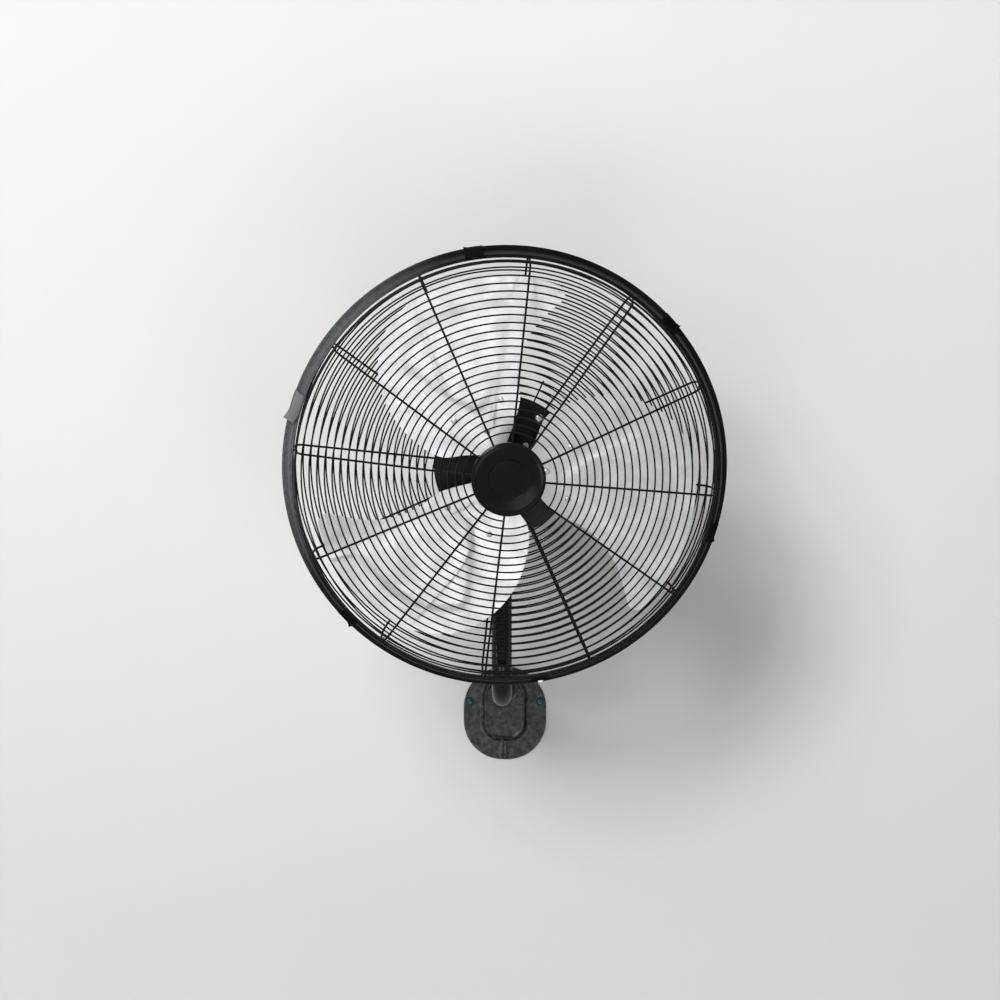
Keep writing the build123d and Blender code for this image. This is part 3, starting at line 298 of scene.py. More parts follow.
def tube(path, radius, sides, round_ends=True):
    """Round bar along a path of 3-D points, closed at its ends."""
    path = [Vector(point) for point in path]
    last = len(path) - 1
    tangents = [(path[min(number + 1, last)] - path[max(number - 1, 0)]).normalized()
                for number in range(last + 1)]
    stations = [(centre, tangent, radius) for centre, tangent in zip(path, tangents)]
    if round_ends:
        first_step, end_steps = 0.35, 3
        for step in reversed(range(end_steps)):
            lean = pi / 2 * (step + first_step) / (end_steps + first_step)
            out, size = radius * cos(lean), radius * sin(lean)
            stations.insert(0, (path[0] - tangents[0] * out, tangents[0], size))
            stations.append((path[-1] + tangents[-1] * out, tangents[-1], size))
    side = tangents[0].orthogonal().normalized()
    rings = []
    for centre, tangent, size in stations:
        side = (side - tangent * side.dot(tangent)).normalized()
        over = tangent.cross(side)
        angles = [2 * pi * number / sides for number in range(sides)]
        rings.append([centre + (side * cos(angle) + over * sin(angle)) * size for angle in angles])
    return skin(rings)


def grid_sheet(front, back):
    """Closed sheet between two grids of points with the same rows and columns."""
    rows, columns = len(front), len(front[0])
    points = [point for row in front + back for point in row]
    base = rows * columns
    faces = []
    for row in range(rows - 1):
        for spot in range(row * columns, (row + 1) * columns - 1):
            face = (spot, spot + 1, spot + columns + 1, spot + columns)
            faces += [face, tuple(base + corner for corner in reversed(face))]
    edge = list(range(columns))
    edge += [row * columns + columns - 1 for row in range(1, rows)]
    edge += [(rows - 1) * columns + column for column in reversed(range(columns - 1))]
    edge += [row * columns for row in reversed(range(1, rows - 1))]
    for here, after in zip(edge, edge[1:] + edge[:1]):
        faces.append((after, here, base + here, base + after))
    return points, faces


def dome(radius, height, sides, rings, skirt):
    """Rivet or screw head: a dome on a short upright side."""
    profile = [(0, 0), (radius, 0), (radius, skirt)]
    for step in range(1, rings):
        lean = pi / 2 * step / rings
        profile.append((radius * cos(lean), skirt + height * sin(lean)))
    profile.append((0, skirt + height))
    return lathe(profile, sides, close=False)


def pan_head(radius, height, slot_depth, slot_width):
    """Screw head with a flat underside and a cross recess pressed into its top."""
    sides, rings, fall = 32, 10, 0.82
    slot_end, slot_slope, slot_side = 0.58 * radius, 0.62 * radius, slot_width / 2 + 0.1 * radius
    shares = [ring / rings for ring in range(rings + 1)]
    profile = [(radius * share, height * sqrt(1 - share**3 * fall)) for share in shares]
    points, faces = lathe(profile + [(radius, 0), (0, 0)], sides, close=False)
    for point in points:
        thin, span = sorted((abs(point.x), abs(point.y)))
        if point.z > 0 and span < slot_end and thin < slot_side:
            point.z -= slot_depth * (1 - span / slot_slope)
    return points, faces


def walk(path):
    """Function from a distance along a 2-D path to its point and direction there, and its length."""
    marks = [0.0]
    for here, after in zip(path, path[1:]):
        marks.append(marks[-1] + (after - here).length)

    def place(distance):
        distance = min(max(distance, 0.0), marks[-1])
        number = min(int(np.searchsorted(marks, distance, side="right")) - 1, len(path) - 2)
        run = path[number + 1] - path[number]
        share = (distance - marks[number]) / max(run.length, 1e-9)
        return path[number] + run * share, run.normalized()

    return place, marks[-1]


def spread(curve, count):
    """A curve's points again, evenly spaced."""
    place, total = walk(curve)
    return np.array([tuple(place(total * number / (count - 1))[0]) for number in range(count)])


def smooth(share):
    """Eases a share from 0 to 1 in and out."""
    return share * share * (3 - 2 * share)


def near_curve(grid, curve):
    """Distance of each point of a grid from a curve."""
    best = np.full(grid.shape[:2], np.inf)
    for spot in curve:
        best = np.minimum(best, np.hypot(grid[..., 0] - spot[0], grid[..., 1] - spot[1]))
    return best


def signed_gap(grid, loop, centre):
    """Distance of each point of a grid from a loop round a centre, above 0 inside of it."""
    line = np.array([tuple(point) for point in loop])
    angles = np.arctan2(line[:, 0] - centre[0], line[:, 1] - centre[1])
    order = np.argsort(angles)
    spans = np.linalg.norm(line - centre, axis=1)[order]
    ways = np.arctan2(grid[..., 0] - centre[0], grid[..., 1] - centre[1])
    reach = np.interp(ways, angles[order], spans, period=2 * pi)
    gap = near_curve(grid, loop)
    return np.where(np.linalg.norm(grid - centre, axis=2) < reach, gap, -gap)


# ---- shader node groups -------------------------------------------------------------------------
def feed(tree, socket, value):
    """Sets a socket to a number or colour, or links it to another socket."""
    if isinstance(value, bpy.types.NodeSocket):
        tree.links.new(value, socket)
    else:
        socket.default_value = value


def new_group(name, inputs, outputs):
    """A shader node group for a vector and some numbers and colours, with its two end nodes' sockets."""
    group = bpy.data.node_groups.new(name, "ShaderNodeTree")
    group.interface.new_socket("Vector", in_out="INPUT", socket_type="NodeSocketVector")
    for label, default in inputs.items():
        kind = "NodeSocketColor" if isinstance(default, tuple) else "NodeSocketFloat"
        group.interface.new_socket(label, in_out="INPUT", socket_type=kind).default_value = default
    for label, kind in outputs.items():
        group.interface.new_socket(label, in_out="OUTPUT", socket_type=kind)
    return group, group.nodes.new("NodeGroupInput").outputs, group.nodes.new("NodeGroupOutput").inputs


def math_node(tree, operation, first, second):
    """A math node of two sockets or numbers."""
    node = tree.nodes.new("ShaderNodeMath")
    node.operation = operation
    feed(tree, node.inputs[0], first)
    feed(tree, node.inputs[1], second)
    return node.outputs[0]


def mix_node(tree, factor, first, second, blend="MIX"):
    """Mixes two colours."""
    node = tree.nodes.new("ShaderNodeMix")
    node.data_type, node.blend_type = "RGBA", blend
    feed(tree, node.inputs["Factor"], factor)
    feed(tree, node.inputs[6], first)
    feed(tree, node.inputs[7], second)
    return node.outputs[2]


def noise_node(tree, vector, scale, detail, roughness=0.55):
    """A noise texture."""
    node = tree.nodes.new("ShaderNodeTexNoise")
    for label, value in (("Vector", vector), ("Scale", scale), ("Detail", detail), ("Roughness", roughness)):
        feed(tree, node.inputs[label], value)
    return node.outputs["Fac"]


def range_node(tree, value, low, high, to_low=0.0, to_high=1.0):
    """Maps a value's range onto another."""
    node = tree.nodes.new("ShaderNodeMapRange")
    feed(tree, node.inputs["Value"], value)
    for label, end in (("From Min", low), ("From Max", high), ("To Min", to_low), ("To Max", to_high)):
        feed(tree, node.inputs[label], end)
    return node.outputs["Result"]


def grain_group():
    """Orange peel and fine grain of a sprayed coat, as a height."""
    group, entry, end = new_group("coat_grain", {"Scale": 900.0, "Peel": 0.5}, {"Height": "NodeSocketFloat"})
    fine = noise_node(group, entry["Vector"], entry["Scale"], 2.0)
    wide = noise_node(group, entry["Vector"], math_node(group, "MULTIPLY", entry["Scale"], 0.22), 1.0)
    peel = math_node(group, "MULTIPLY", wide, entry["Peel"])
    feed(group, end["Height"], math_node(group, "ADD", fine, peel))
    return group


def smudge_group():
    """Patchy roughness from handling and dust."""
    group, entry, end = new_group("smudges", {"Scale": 20.0, "Low": 0.3, "High": 0.5},
                                  {"Roughness": "NodeSocketFloat"})
    wide = noise_node(group, entry["Vector"], entry["Scale"], 4.0, 0.6)
    fine = noise_node(group, entry["Vector"], math_node(group, "MULTIPLY", entry["Scale"], 7.0), 2.0)
    both = math_node(group, "ADD", math_node(group, "MULTIPLY", wide, 0.7),
                     math_node(group, "MULTIPLY", fine, 0.3))
    mask = range_node(group, both, 0.35, 0.65)
    feed(group, end["Roughness"], range_node(group, mask, 0.0, 1.0, entry["Low"], entry["High"]))
    return group


def tone_group():
    """A colour that drifts between two tones."""
    group, entry, end = new_group(
        "tone_drift", {"Scale": 12.0, "Base": (0.5, 0.5, 0.5, 1), "Other": (0.4, 0.4, 0.4, 1)},
        {"Color": "NodeSocketColor"})
    drift = noise_node(group, entry["Vector"], entry["Scale"], 5.0, 0.6)
    share = range_node(group, drift, 0.38, 0.66)
    feed(group, end["Color"], mix_node(group, share, entry["Base"], entry["Other"]))
    return group


def rolled_group():
    """Long fine lines of rolled or brushed sheet, as a height."""
    group, entry, end = new_group("rolled_lines", {"Across": 700.0, "Along": 9.0},
                                  {"Height": "NodeSocketFloat"})
    split = group.nodes.new("ShaderNodeSeparateXYZ")
    join = group.nodes.new("ShaderNodeCombineXYZ")
    feed(group, split.inputs[0], entry["Vector"])
    for axis, label in (("X", "Across"), ("Y", "Along"), ("Z", "Along")):
        feed(group, join.inputs[axis], math_node(group, "MULTIPLY", split.outputs[axis], entry[label]))
    feed(group, end["Height"], noise_node(group, join.outputs[0], 1.0, 3.0, 0.7))
    return group


GROUP_MAKERS = {"grain": grain_group, "smudges": smudge_group, "tone": tone_group, "rolled": rolled_group}
GROUPS = {}
MADE = {}


def place_group(tree, name, vector, **values):
    """Puts a shared group, built once, into a material with its own values."""
    if name not in GROUPS:
        GROUPS[name] = GROUP_MAKERS[name]()
    node = tree.nodes.new("ShaderNodeGroup")
    node.node_tree = GROUPS[name]
    feed(tree, node.inputs["Vector"], vector)
    for label, value in values.items():
        feed(tree, node.inputs[label.capitalize()], (*value, 1.0) if isinstance(value, tuple) else value)
    return node.outputs[0]


def coated(name, base, other, rough, grain=(900.0, 0.5, 0.00004), metallic=0.0, coat=0.0,
           smudge_scale=18.0, tone_scale=10.0, rolled=None, specular=0.12):
    """A material with drifting tone, patchy roughness and a fine surface, made once."""
    if name in MADE:
        return MADE[name]
    material = MADE[name] = bpy.data.materials.new(name)
    material.use_nodes = True
    tree = material.node_tree
    spot = tree.nodes.new("ShaderNodeTexCoord").outputs["Object"]
    scale, peel, depth = grain
    height = place_group(tree, "grain", spot, scale=scale, peel=peel)
    if rolled:
        across, along, share = rolled
        lines = place_group(tree, "rolled", spot, across=across, along=along)
        height = math_node(tree, "ADD", height, math_node(tree, "MULTIPLY", lines, share))
    bump = tree.nodes.new("ShaderNodeBump")
    for label, value in (("Strength", 0.6), ("Distance", depth), ("Height", height)):
        feed(tree, bump.inputs[label], value)
    looks = {
        "Base Color": place_group(tree, "tone", spot, scale=tone_scale, base=base, other=other),
        "Roughness": place_group(tree, "smudges", spot, scale=smudge_scale, low=rough[0], high=rough[1]),
        "Normal": bump.outputs["Normal"],
        "Metallic": metallic,
        "Coat Weight": coat,
        "Coat Roughness": 0.08,
        "Specular IOR Level": specular,
    }
    for label, value in looks.items():
        feed(tree, tree.nodes["Principled BSDF"].inputs[label], value)
    return material


def tones(setting, factor):
    """A colour setting and the same colour scaled, between which a material drifts."""
    base = tuple(setting)
    return base, tuple(value * factor for value in base)


def powder_coat():
    """Satin black powder coat of the guards and the rim."""
    return coated("satin_black_coat", *tones(bpy.context.scene.fan_cage.coat, 1.9), (0.34, 0.46),
                  specular=0.07)


def zinc():
    """Bright zinc plated steel."""
    return coated("bright_zinc", (0.60, 0.60, 0.58), (0.44, 0.45, 0.45), (0.24, 0.42), metallic=1.0,
                  specular=0.5)


def plate_coat():
    """Mottled satin black of the wall plate."""
    return coated("plate_coat", (0.0002, 0.0002, 0.0003), (0.050, 0.052, 0.058), (0.14, 0.28),
                  grain=(420.0, 1.4, 0.00005), smudge_scale=150.0, tone_scale=110.0, specular=0.42)


# ---- guards -------------------------------------------------------------------------------------
LIP_ROOM = 4.5 * MM       # from the band's lips inwards to where the guards bend into the rim
SHOULDER_BEND = 14 * MM   # radii of the spokes' bends
FLANGE_BEND = 5 * MM
BEND_STEPS = 10
WIRE_LIFT = 0.28          # spiral wire's middle above the spokes, in wire diameters
TURN_STEPS = 108          # straight runs in a turn of a spiral wire
SPIRAL_END = 6 * MM       # a spiral stops this far before its spokes bend outwards at the rim


def cage_sizes():
    """Radii and heights that the cage's pieces share, in metres."""
    cage = bpy.context.scene.fan_cage
    half = cage.rim_width / 2
    ring = half - cage.rim_sheet - cage.spoke - 8 * SEAT
    front = cage.rim_radius - cage.rim_flare
    return SimpleNamespace(
        half=half,
        front=front,
        foot=4 * SEAT + ring + cage.spoke / 2,
        front_shoulder=cage.rim_radius - cage.front_inset,
        rear_shoulder=cage.rim_radius - cage.rear_inset,
        front_flange=front - cage.front_lip - LIP_ROOM,
        rear_flange=cage.rim_radius - cage.rear_lip - LIP_ROOM,
        front_end=front - cage.rim_sheet - cage.spoke / 2,
        rear_end=cage.rim_radius - cage.rim_flare / 2 - cage.rim_sheet - cage.spoke / 2,
        crown=cage.front_depth - bpy.context.scene.fan_cap.height - SEAT - cage.spoke / 2,
    )


def front_profile():
    """Middle line of a front spoke as (radius, height), from under the cap to the rim."""
    cage, size = bpy.context.scene.fan_cage, cage_sizes()
    return rounded([
        (38 * MM, size.crown, 0),
        (bpy.context.scene.fan_cap.radius + 4 * MM, size.crown, 40 * MM),
        (size.front_shoulder, cage.front_shoulder, SHOULDER_BEND),
        (size.front_flange, size.foot, FLANGE_BEND),
        (size.front_end, size.foot, 0),
    ], BEND_STEPS)


def rear_profile():
    """Middle line of a rear spoke as (radius, height), from the disc to the rim."""
    cage, size = bpy.context.scene.fan_cage, cage_sizes()
    return rounded([
        (bpy.context.scene.fan_cap.disc_radius - 10 * MM, -cage.rear_depth, 0),
        (size.rear_shoulder, -cage.rear_depth, SHOULDER_BEND),
        (size.rear_flange, -size.foot, FLANGE_BEND),
        (size.rear_end, -size.foot, 0),
    ], BEND_STEPS)


def add_spokes(name, profile, node):
    """Bent round wires, one for each azimuth."""
    cage = bpy.context.scene.fan_cage
    parts = []
    for number in range(cage.spokes):
        azimuth = cage.spoke_turn + number * 2 * pi / cage.spokes
        path = [at_azimuth(point.x, point.y, azimuth) for point in profile]
        parts.append(tube(path, cage.spoke / 2, 14))
    add_piece(name, merge(parts), "head", powder_coat(), node)


def add_spiral(name, profile, side, start_radius, foot, node):
    """One long wire wound outwards over the spokes. The side is 1 in front and -1 behind."""
    cage = bpy.context.scene.fan_cage
    place, total = walk(profile)
    lift = side * (cage.spoke / 2 + cage.wire * WIRE_LIFT)
    start = start_radius - profile[0].x
    turns = (total - foot - SPIRAL_END - start) / cage.pitch
    steps = ceil(turns * TURN_STEPS)
    first = cage.spoke_turn + pi / 2 + side * pi / 2
    path = []
    for step in range(steps + 1):
        wound = step / steps * turns
        spot, along = place(start + wound * cage.pitch)
        azimuth = first + wound * 2 * pi
        wander = 0.25 * MM * sin(azimuth * 3.0 + 1.3 * side) + 0.2 * MM * sin(azimuth * 7.0)
        radius = spot.x - along.y * lift + along.x * wander
        height = spot.y + along.x * lift + along.y * wander
        path.append(at_azimuth(radius, height, azimuth))
    add_piece(name, tube(path, cage.wire / 2, 8), "head", powder_coat(), node)


class FAN_OT_guards(bpy.types.Operator):
    """Builds the spokes and spiral wires of both guards"""
    bl_idname = "fan.build_guards"
    bl_label = "Build guards"

    def execute(self, context):
        size = cage_sizes()
        front, rear = front_profile(), rear_profile()
        add_spokes("front_spokes", front, "front_guard_spokes")
        add_spokes("rear_spokes", rear, "rear_guard_spokes")
        add_spiral("front_spiral", front, 1, 62 * MM, size.front_end - size.front_flange,
                   "front_guard_spiral")
        add_spiral("rear_spiral", rear, -1, 112 * MM, size.rear_end - size.rear_flange,
                   "rear_guard_spiral")
        depth, rod_turn = context.scene.fan_cage.rear_depth, radians(25)
        rod = [at_azimuth(radius * MM, -depth, rod_turn) for radius in (98, 112, 125, 139)]
        add_piece("rear_tie_rod", tube(rod, 1.2 * MM, 12), "head", powder_coat())
        return {"FINISHED"}


# ---- rim, clips and cap -------------------------------------------------------------------------
# Clip middles in degrees clockwise from the top, and how far their first and last ends stand open.
CLIPS = ((48.6, 0.0, 2 * MM), (107.7, 0.0, 2.6 * MM), (171.0, 0.0, 0.0), (227.2, 4 * MM, 0.0),
         (289.0, 5.4 * MM, 0.0), (352.0, 2 * MM, 0.0))
LATCH = 289.0             # the clip that is the latch
LATCH_TIP = 16 * MM       # how much longer it is than the others
OPEN_SHARE = 0.25         # share of a clip's length over which an end rises
LOCK = radians(171.0)     # azimuth of the lock screw
SHEEN_TURN = radians(292.0)     # middle of the rim's painted grey sheen, clockwise from the top


def rim_material():
    """Smoother black coat of the rim band, with a grey sheen painted at its upper left."""
    cage = bpy.context.scene.fan_cage
    material = coated("rim_coat", *tones(cage.coat, 2.2), (0.26, 0.42), grain=(1400.0, 0.4, 0.00005),
                      smudge_scale=160.0, specular=0.05)
    tree = material.node_tree
    base = tree.nodes["Principled BSDF"].inputs["Base Color"]
    black = base.links[0].from_socket
    # Painted sheen: grey patches mixed into the black at the upper left stand in for light reflected there.
    spot = tree.nodes.new("ShaderNodeTexCoord").outputs["Object"]
    toward = Vector((sin(SHEEN_TURN), 0, cos(SHEEN_TURN)))
    reach = tree.nodes.new("ShaderNodeVectorMath")
    reach.operation = "DOT_PRODUCT"
    feed(tree, reach.inputs[0], spot)
    feed(tree, reach.inputs[1], toward)
    middle = toward.dot(HUB)
    side = range_node(tree, reach.outputs["Value"], middle + 0.60 * cage.rim_radius,
                      middle + 0.92 * cage.rim_radius)
    sheen_patches = place_group(tree, "smudges", spot, scale=220.0, low=0.35, high=1.0)
    share = math_node(tree, "MULTIPLY", side, sheen_patches)
    feed(tree, base, mix_node(tree, share, black, (0.125, 0.13, 0.138, 1.0)))
    return material


class FAN_OT_rim(bpy.types.Operator):
    """Builds the rim band with its rolled edges"""
    bl_idname = "fan.build_rim"
    bl_label = "Build rim"

    def execute(self, context):
        cage, size = context.scene.fan_cage, cage_sizes()
        half, front, back = size.half, size.front, cage.rim_radius
        sheet, bead = cage.rim_sheet, cage.rim_bead
        profile = rounded([
            (back - cage.rear_lip, -half, 0.6 * MM),
            (back, -half, 0.96 * bead),
            (back - 0.5 * MM, 2 * bead - half, 0.96 * bead),
            (back - 2 * bead, 2 * bead - half - 0.5 * MM, 0.9 * MM),
            (front + 1.6 * MM, half - 3.6 * MM, 3.0 * MM),
            (front - cage.front_lip, half, 0.6 * MM),
            (front - cage.front_lip, half - sheet, 0.6 * MM),
            (front - 0.2 * MM, half - sheet - 3.0 * MM, 1.6 * MM),
            (back - 2 * bead - 1.3 * MM, 2 * bead - half - 1.5 * MM, 0.5 * MM),
            (back - 2 * bead, sheet - half, 0.5 * MM),
            (back - cage.rear_lip, sheet - half, 0.6 * MM),
        ], 6)
        add_piece("rim_band_rolled", lathe(profile, 360), "head", rim_material(),
                  "rim_band")
        return {"FINISHED"}


def clip_strip(profile, azimuth, open_start, open_stop):
    """A clip's profile carried along the rim, with its ends standing open."""
    cage, steps = bpy.context.scene.fan_cage, 24
    span = cage.clip_length / cage.rim_radius
    tip = LATCH_TIP / cage.rim_radius if azimuth == LATCH else 0
    start, stop = radians(azimuth) - span / 2 - tip, radians(azimuth) + span / 2
    start_share = max(tip / (span + tip), OPEN_SHARE)
    rings = []
    for step in range(steps + 1):
        share = step / steps
        near_start = max(0.0, 1 - share / start_share)
        near_stop = max(0.0, 1 - (1 - share) / OPEN_SHARE)
        out = open_start * near_start**1.4 + open_stop * near_stop**1.4
        here = start + (stop - start) * share
        rings.append([at_azimuth(point.x + out, point.y, here) for point in profile])
    return skin(rings)


class FAN_OT_clips(bpy.types.Operator):
    """Builds the clips that hold the guards in the rim, with the latch and the lock screw"""
    bl_idname = "fan.build_clips"
    bl_label = "Build clips"

    def execute(self, context):
        cage, size = context.scene.fan_cage, cage_sizes()
        gap, wall, half = 2 * SEAT, 1.2 * MM, size.half + SEAT
        front, back = size.front + gap, cage.rim_radius + gap
        front_hook, rear_hook = 2.5 * MM, 8 * MM
        profile = rounded([
            (front - front_hook, half, 0.3 * MM),
            (front, half, 0.4 * MM),
            (back, -half, 0.6 * MM),
            (back - rear_hook, -half, 0.3 * MM),
            (back - rear_hook, -half - wall, 0.4 * MM),
            (back + wall, -half - wall, 1.4 * MM),
            (front + wall, half + wall, 1.4 * MM),
            (front - front_hook, half + wall, 0.4 * MM),
        ], 4)
        strips = [clip_strip(profile, *clip) for clip in CLIPS if clip[0] != LATCH]
        latch = [clip_strip(profile, *clip) for clip in CLIPS if clip[0] == LATCH]
        dark = coated("clip_coat", (0.007, 0.007, 0.008), (0.010, 0.010, 0.011), (0.40, 0.52), specular=0.0)
        pale = coated("latch_steel", (0.15, 0.15, 0.155), (0.09, 0.09, 0.093), (0.30, 0.44), metallic=0.5,
                      specular=0.4)
        add_piece("rim_clip_set", merge(strips), "head", dark, "rim_clips")
        add_piece("rim_latch", merge(latch), "head", pale, "rim_clips")
        self.add_lock_screw(cage, size, gap + wall)
        return {"FINISHED"}

    @staticmethod
    def add_lock_screw(cage, size, clip_depth):
        """The domed screw through a clip and the band."""
        slope = atan2(cage.rim_flare, cage.rim_width)
        spot = at_azimuth((cage.rim_radius + size.front) / 2, 0, LOCK)
        outward = at_azimuth(cos(slope), sin(slope), LOCK)
        seat = clip_depth * cos(slope) + SEAT
        head = moved(dome(4.4 * MM, 3.8 * MM, 28, 8, 0.8 * MM), stand(spot + outward * seat, outward))
        shank = tube([spot + outward * (seat + 0.2 * MM), spot - outward * cage.rim_sheet], 2.0 * MM, 16,
                     round_ends=False)
        nickel = coated("bright_nickel", (0.88, 0.88, 0.87), (0.80, 0.80, 0.79), (0.10, 0.20),
                        metallic=1.0, specular=0.5)
        add_piece("lock_screw", merge([head, shank]), "head", nickel, "rim_lock_screw")


class FAN_OT_cap(bpy.types.Operator):
    """Builds the moulded cap in the middle of the front guard"""
    bl_idname = "fan.build_cap"
    bl_label = "Build cap"

    def execute(self, context):
        cap = context.scene.fan_cap
        face, step, edge = context.scene.fan_cage.front_depth, cap.step_radius, cap.radius
        back, inner = face - cap.height, edge - 1.5 * MM
        profile = rounded([
            (0, face - 2.0 * MM, 0),
            (step - 2.6 * MM, face - 1.9 * MM, 0.8 * MM),
            (step - 1.0 * MM, face, 0.9 * MM),
            (step + 2.2 * MM, face - 0.2 * MM, 3.0 * MM),
            (edge - 7.5 * MM, face - 1.1 * MM, 3.0 * MM),
            (edge - 3.4 * MM, face, 2.0 * MM),
            (edge, face - 1.6 * MM, 1.2 * MM),
            (edge, back, 0.3 * MM),
            (inner, back, 0.3 * MM),
            (inner, face - 3.6 * MM, 0.8 * MM),
            (0, face - 3.7 * MM, 0),
        ], 6)
        plastic = coated("cap_plastic", *tones(cap.plastic, 1.4), (0.12, 0.22), grain=(2600.0, 0.3, 0.00002),
                         smudge_scale=60.0, specular=0.1)
        add_piece("cap_shell", lathe(profile, 160, close=False), "head", plastic, "front_cap")
        return {"FINISHED"}


# ---- blades -------------------------------------------------------------------------------------
# Curves over a blade are in shares of its tip radius, x outwards along its middle line and y towards
# its leading edge.
ROOT_REACH, ROOT_HALF = 30 * MM, 14 * MM
LEAD_ROOT, LEAD_CORNER = (0.19, 0.275), (0.985, 0.03)
LEAD_EDGE = ((0.36, 0.378), (0.55, 0.412), (0.72, 0.376), (0.885, 0.265))
TRAIL_EDGE = ((0.28, -0.21), (0.40, -0.254), (0.52, -0.337), (0.61, -0.455))
TAIL_CORNER = (0.67, -0.615)
TAIL_TIP = (0.985, -40.5)              # distance in shares, and degrees from the middle line
ROOT_SHOULDER = (0.147, 0.16)
PANEL = ((0.34, -0.02), (0.45, -0.17), (0.63, -0.29), (0.765, -0.37), (0.835, -0.18), (0.845, 0.0),
         (0.80, 0.14), (0.71, 0.235), (0.55, 0.16), (0.41, 0.07))
PANEL_MIDDLE = (0.62, -0.06)
PANEL_BORDER = 19 * MM
CREASES = (
    ((0.20, -0.02), (0.30, -0.075), (0.40, -0.13), (0.447, -0.168)),
    ((0.765, -0.37), (0.82, -0.44), (0.90, -0.52)),
    ((0.41, 0.08), (0.55, 0.10), (0.76, 0.08), (0.965, 0.06)),
)
CREASE_WIDTH, CREASE_FADE = 3.2 * MM, 26 * MM
RIVET_INNER, RIVET_OUTER, RIVET_SPREAD = 62 * MM, 104 * MM, 22
RIVET_GRIP = 3.1 * MM                  # from a blade's back to the rivets' rear heads


def cardinal(points, steps, start=None, end=None):
    """Smooth curve through 2-D points, with its end directions where they are given."""
    points = [Vector(point) for point in points]
    slopes = [(after - before) / 2 for before, after in zip(points, points[2:])]
    first, last = points[1] - points[0], points[-1] - points[-2]
    if start:
        first = Vector(start).normalized() * first.length
    if end:
        last = Vector(end).normalized() * last.length
    slopes = [first, *slopes, last]
    curve = []
    for p, q, m, n in zip(points, points[1:], slopes, slopes[1:]):
        for step in range(steps):
            t = step / steps
            curve.append(p * (2 * t**3 - 3 * t**2 + 1) + m * (t**3 - 2 * t**2 + t)
                         + q * (3 * t**2 - 2 * t**3) + n * (t**3 - t**2))
    curve.append(points[-1])
    return curve


def polar(radius, angle):
    """Point at a distance and an angle in degrees from a blade's middle line."""
    return Vector((radius * cos(radians(angle)), radius * sin(radians(angle))))


def arc_points(start, end, lean, steps):
    """Points of an arc whose first direction leans from its chord by an angle."""
    chord = end - start
    points = []
    for step in range(steps + 1):
        share = step / steps
        reach = sin(lean * share) / sin(lean)
        points.append(start + Matrix.Rotation(lean * (1 - share), 2) @ chord * reach)
    return points


def blade_grid(rows, columns):
    """Even grid of points over one paddle, in metres."""
    tip = bpy.context.scene.fan_blades.tip_radius

    def scaled(*shares):
        return [Vector((x * tip, y * tip)) for x, y in shares]

    lead_root, lead_corner, tail_corner = scaled(LEAD_ROOT, LEAD_CORNER, TAIL_CORNER)
    lead = cardinal(scaled(LEAD_ROOT, *LEAD_EDGE, LEAD_CORNER), 24, (0.62, 0.78), (0.1, -1.0))
    trail_root, root_corner = (ROOT_REACH, -ROOT_HALF), (ROOT_REACH, ROOT_HALF)
    trail = cardinal([trail_root, *scaled(*TRAIL_EDGE), tail_corner], 24, (0.7, -0.7), (0.34, -0.94))
    root = cardinal([trail_root, root_corner, *scaled(ROOT_SHOULDER), lead_root], 24, (0, 1), (0.62, 0.78))
    tail_tip, middle = polar(TAIL_TIP[0] * tip, TAIL_TIP[1]), polar(tip, -18)
    lean = pi - (lead_corner - middle).angle(tail_tip - middle)
    way = Matrix.Rotation(-lean, 2) @ (tail_tip - lead_corner)
    crest = arc_points(lead_corner, tail_tip, lean, 60)
    crest += arc_points(tail_tip, tail_corner, way.angle(tail_corner - tail_tip), 24)[1:]
    low, high = spread(trail, rows), spread(lead, rows)
    near, far = spread(root, columns), spread(crest[::-1], columns)
    u = np.linspace(0, 1, rows)[:, None, None]
    v = np.linspace(0, 1, columns)[None, :, None]
    grid = (1 - v) * low[:, None] + v * high[:, None] + (1 - u) * near[None] + u * far[None]
    grid -= ((1 - u) * (1 - v) * low[0] + (1 - u) * v * high[0] + u * (1 - v) * low[-1] + u * v * high[-1])
    for _ in range(150):
        grid[1:-1, 1:-1] = (grid[2:, 1:-1] + grid[:-2, 1:-1] + grid[1:-1, 2:] + grid[1:-1, :-2]) / 4
    return grid


def press_heights(grid):
    """Height of the panel and creases pressed into a blade."""
    blades = bpy.context.scene.fan_blades
    tip = blades.tip_radius
    loop = [(x * tip, y * tip) for x, y in PANEL]
    steps = 30
    panel = cardinal(loop[-1:] + loop + loop[:2], steps)[steps:-steps]
    gap = signed_gap(grid, panel, np.array(PANEL_MIDDLE) * tip)
    rise = blades.panel_rise * smooth(np.clip(gap / PANEL_BORDER + 0.5, 0, 1))
    for knots in CREASES:
        curve = cardinal([(x * tip, y * tip) for x, y in knots], 40)
        near = np.exp(-(near_curve(grid, curve) / CREASE_WIDTH) ** 2)
        ends = [np.linalg.norm(grid - np.array(tuple(curve[end])), axis=2) for end in (0, -1)]
        fade = np.clip(np.minimum(*ends) / CREASE_FADE, 0, 1)
        rise = rise + blades.crease_rise * near * smooth(fade)
    return rise


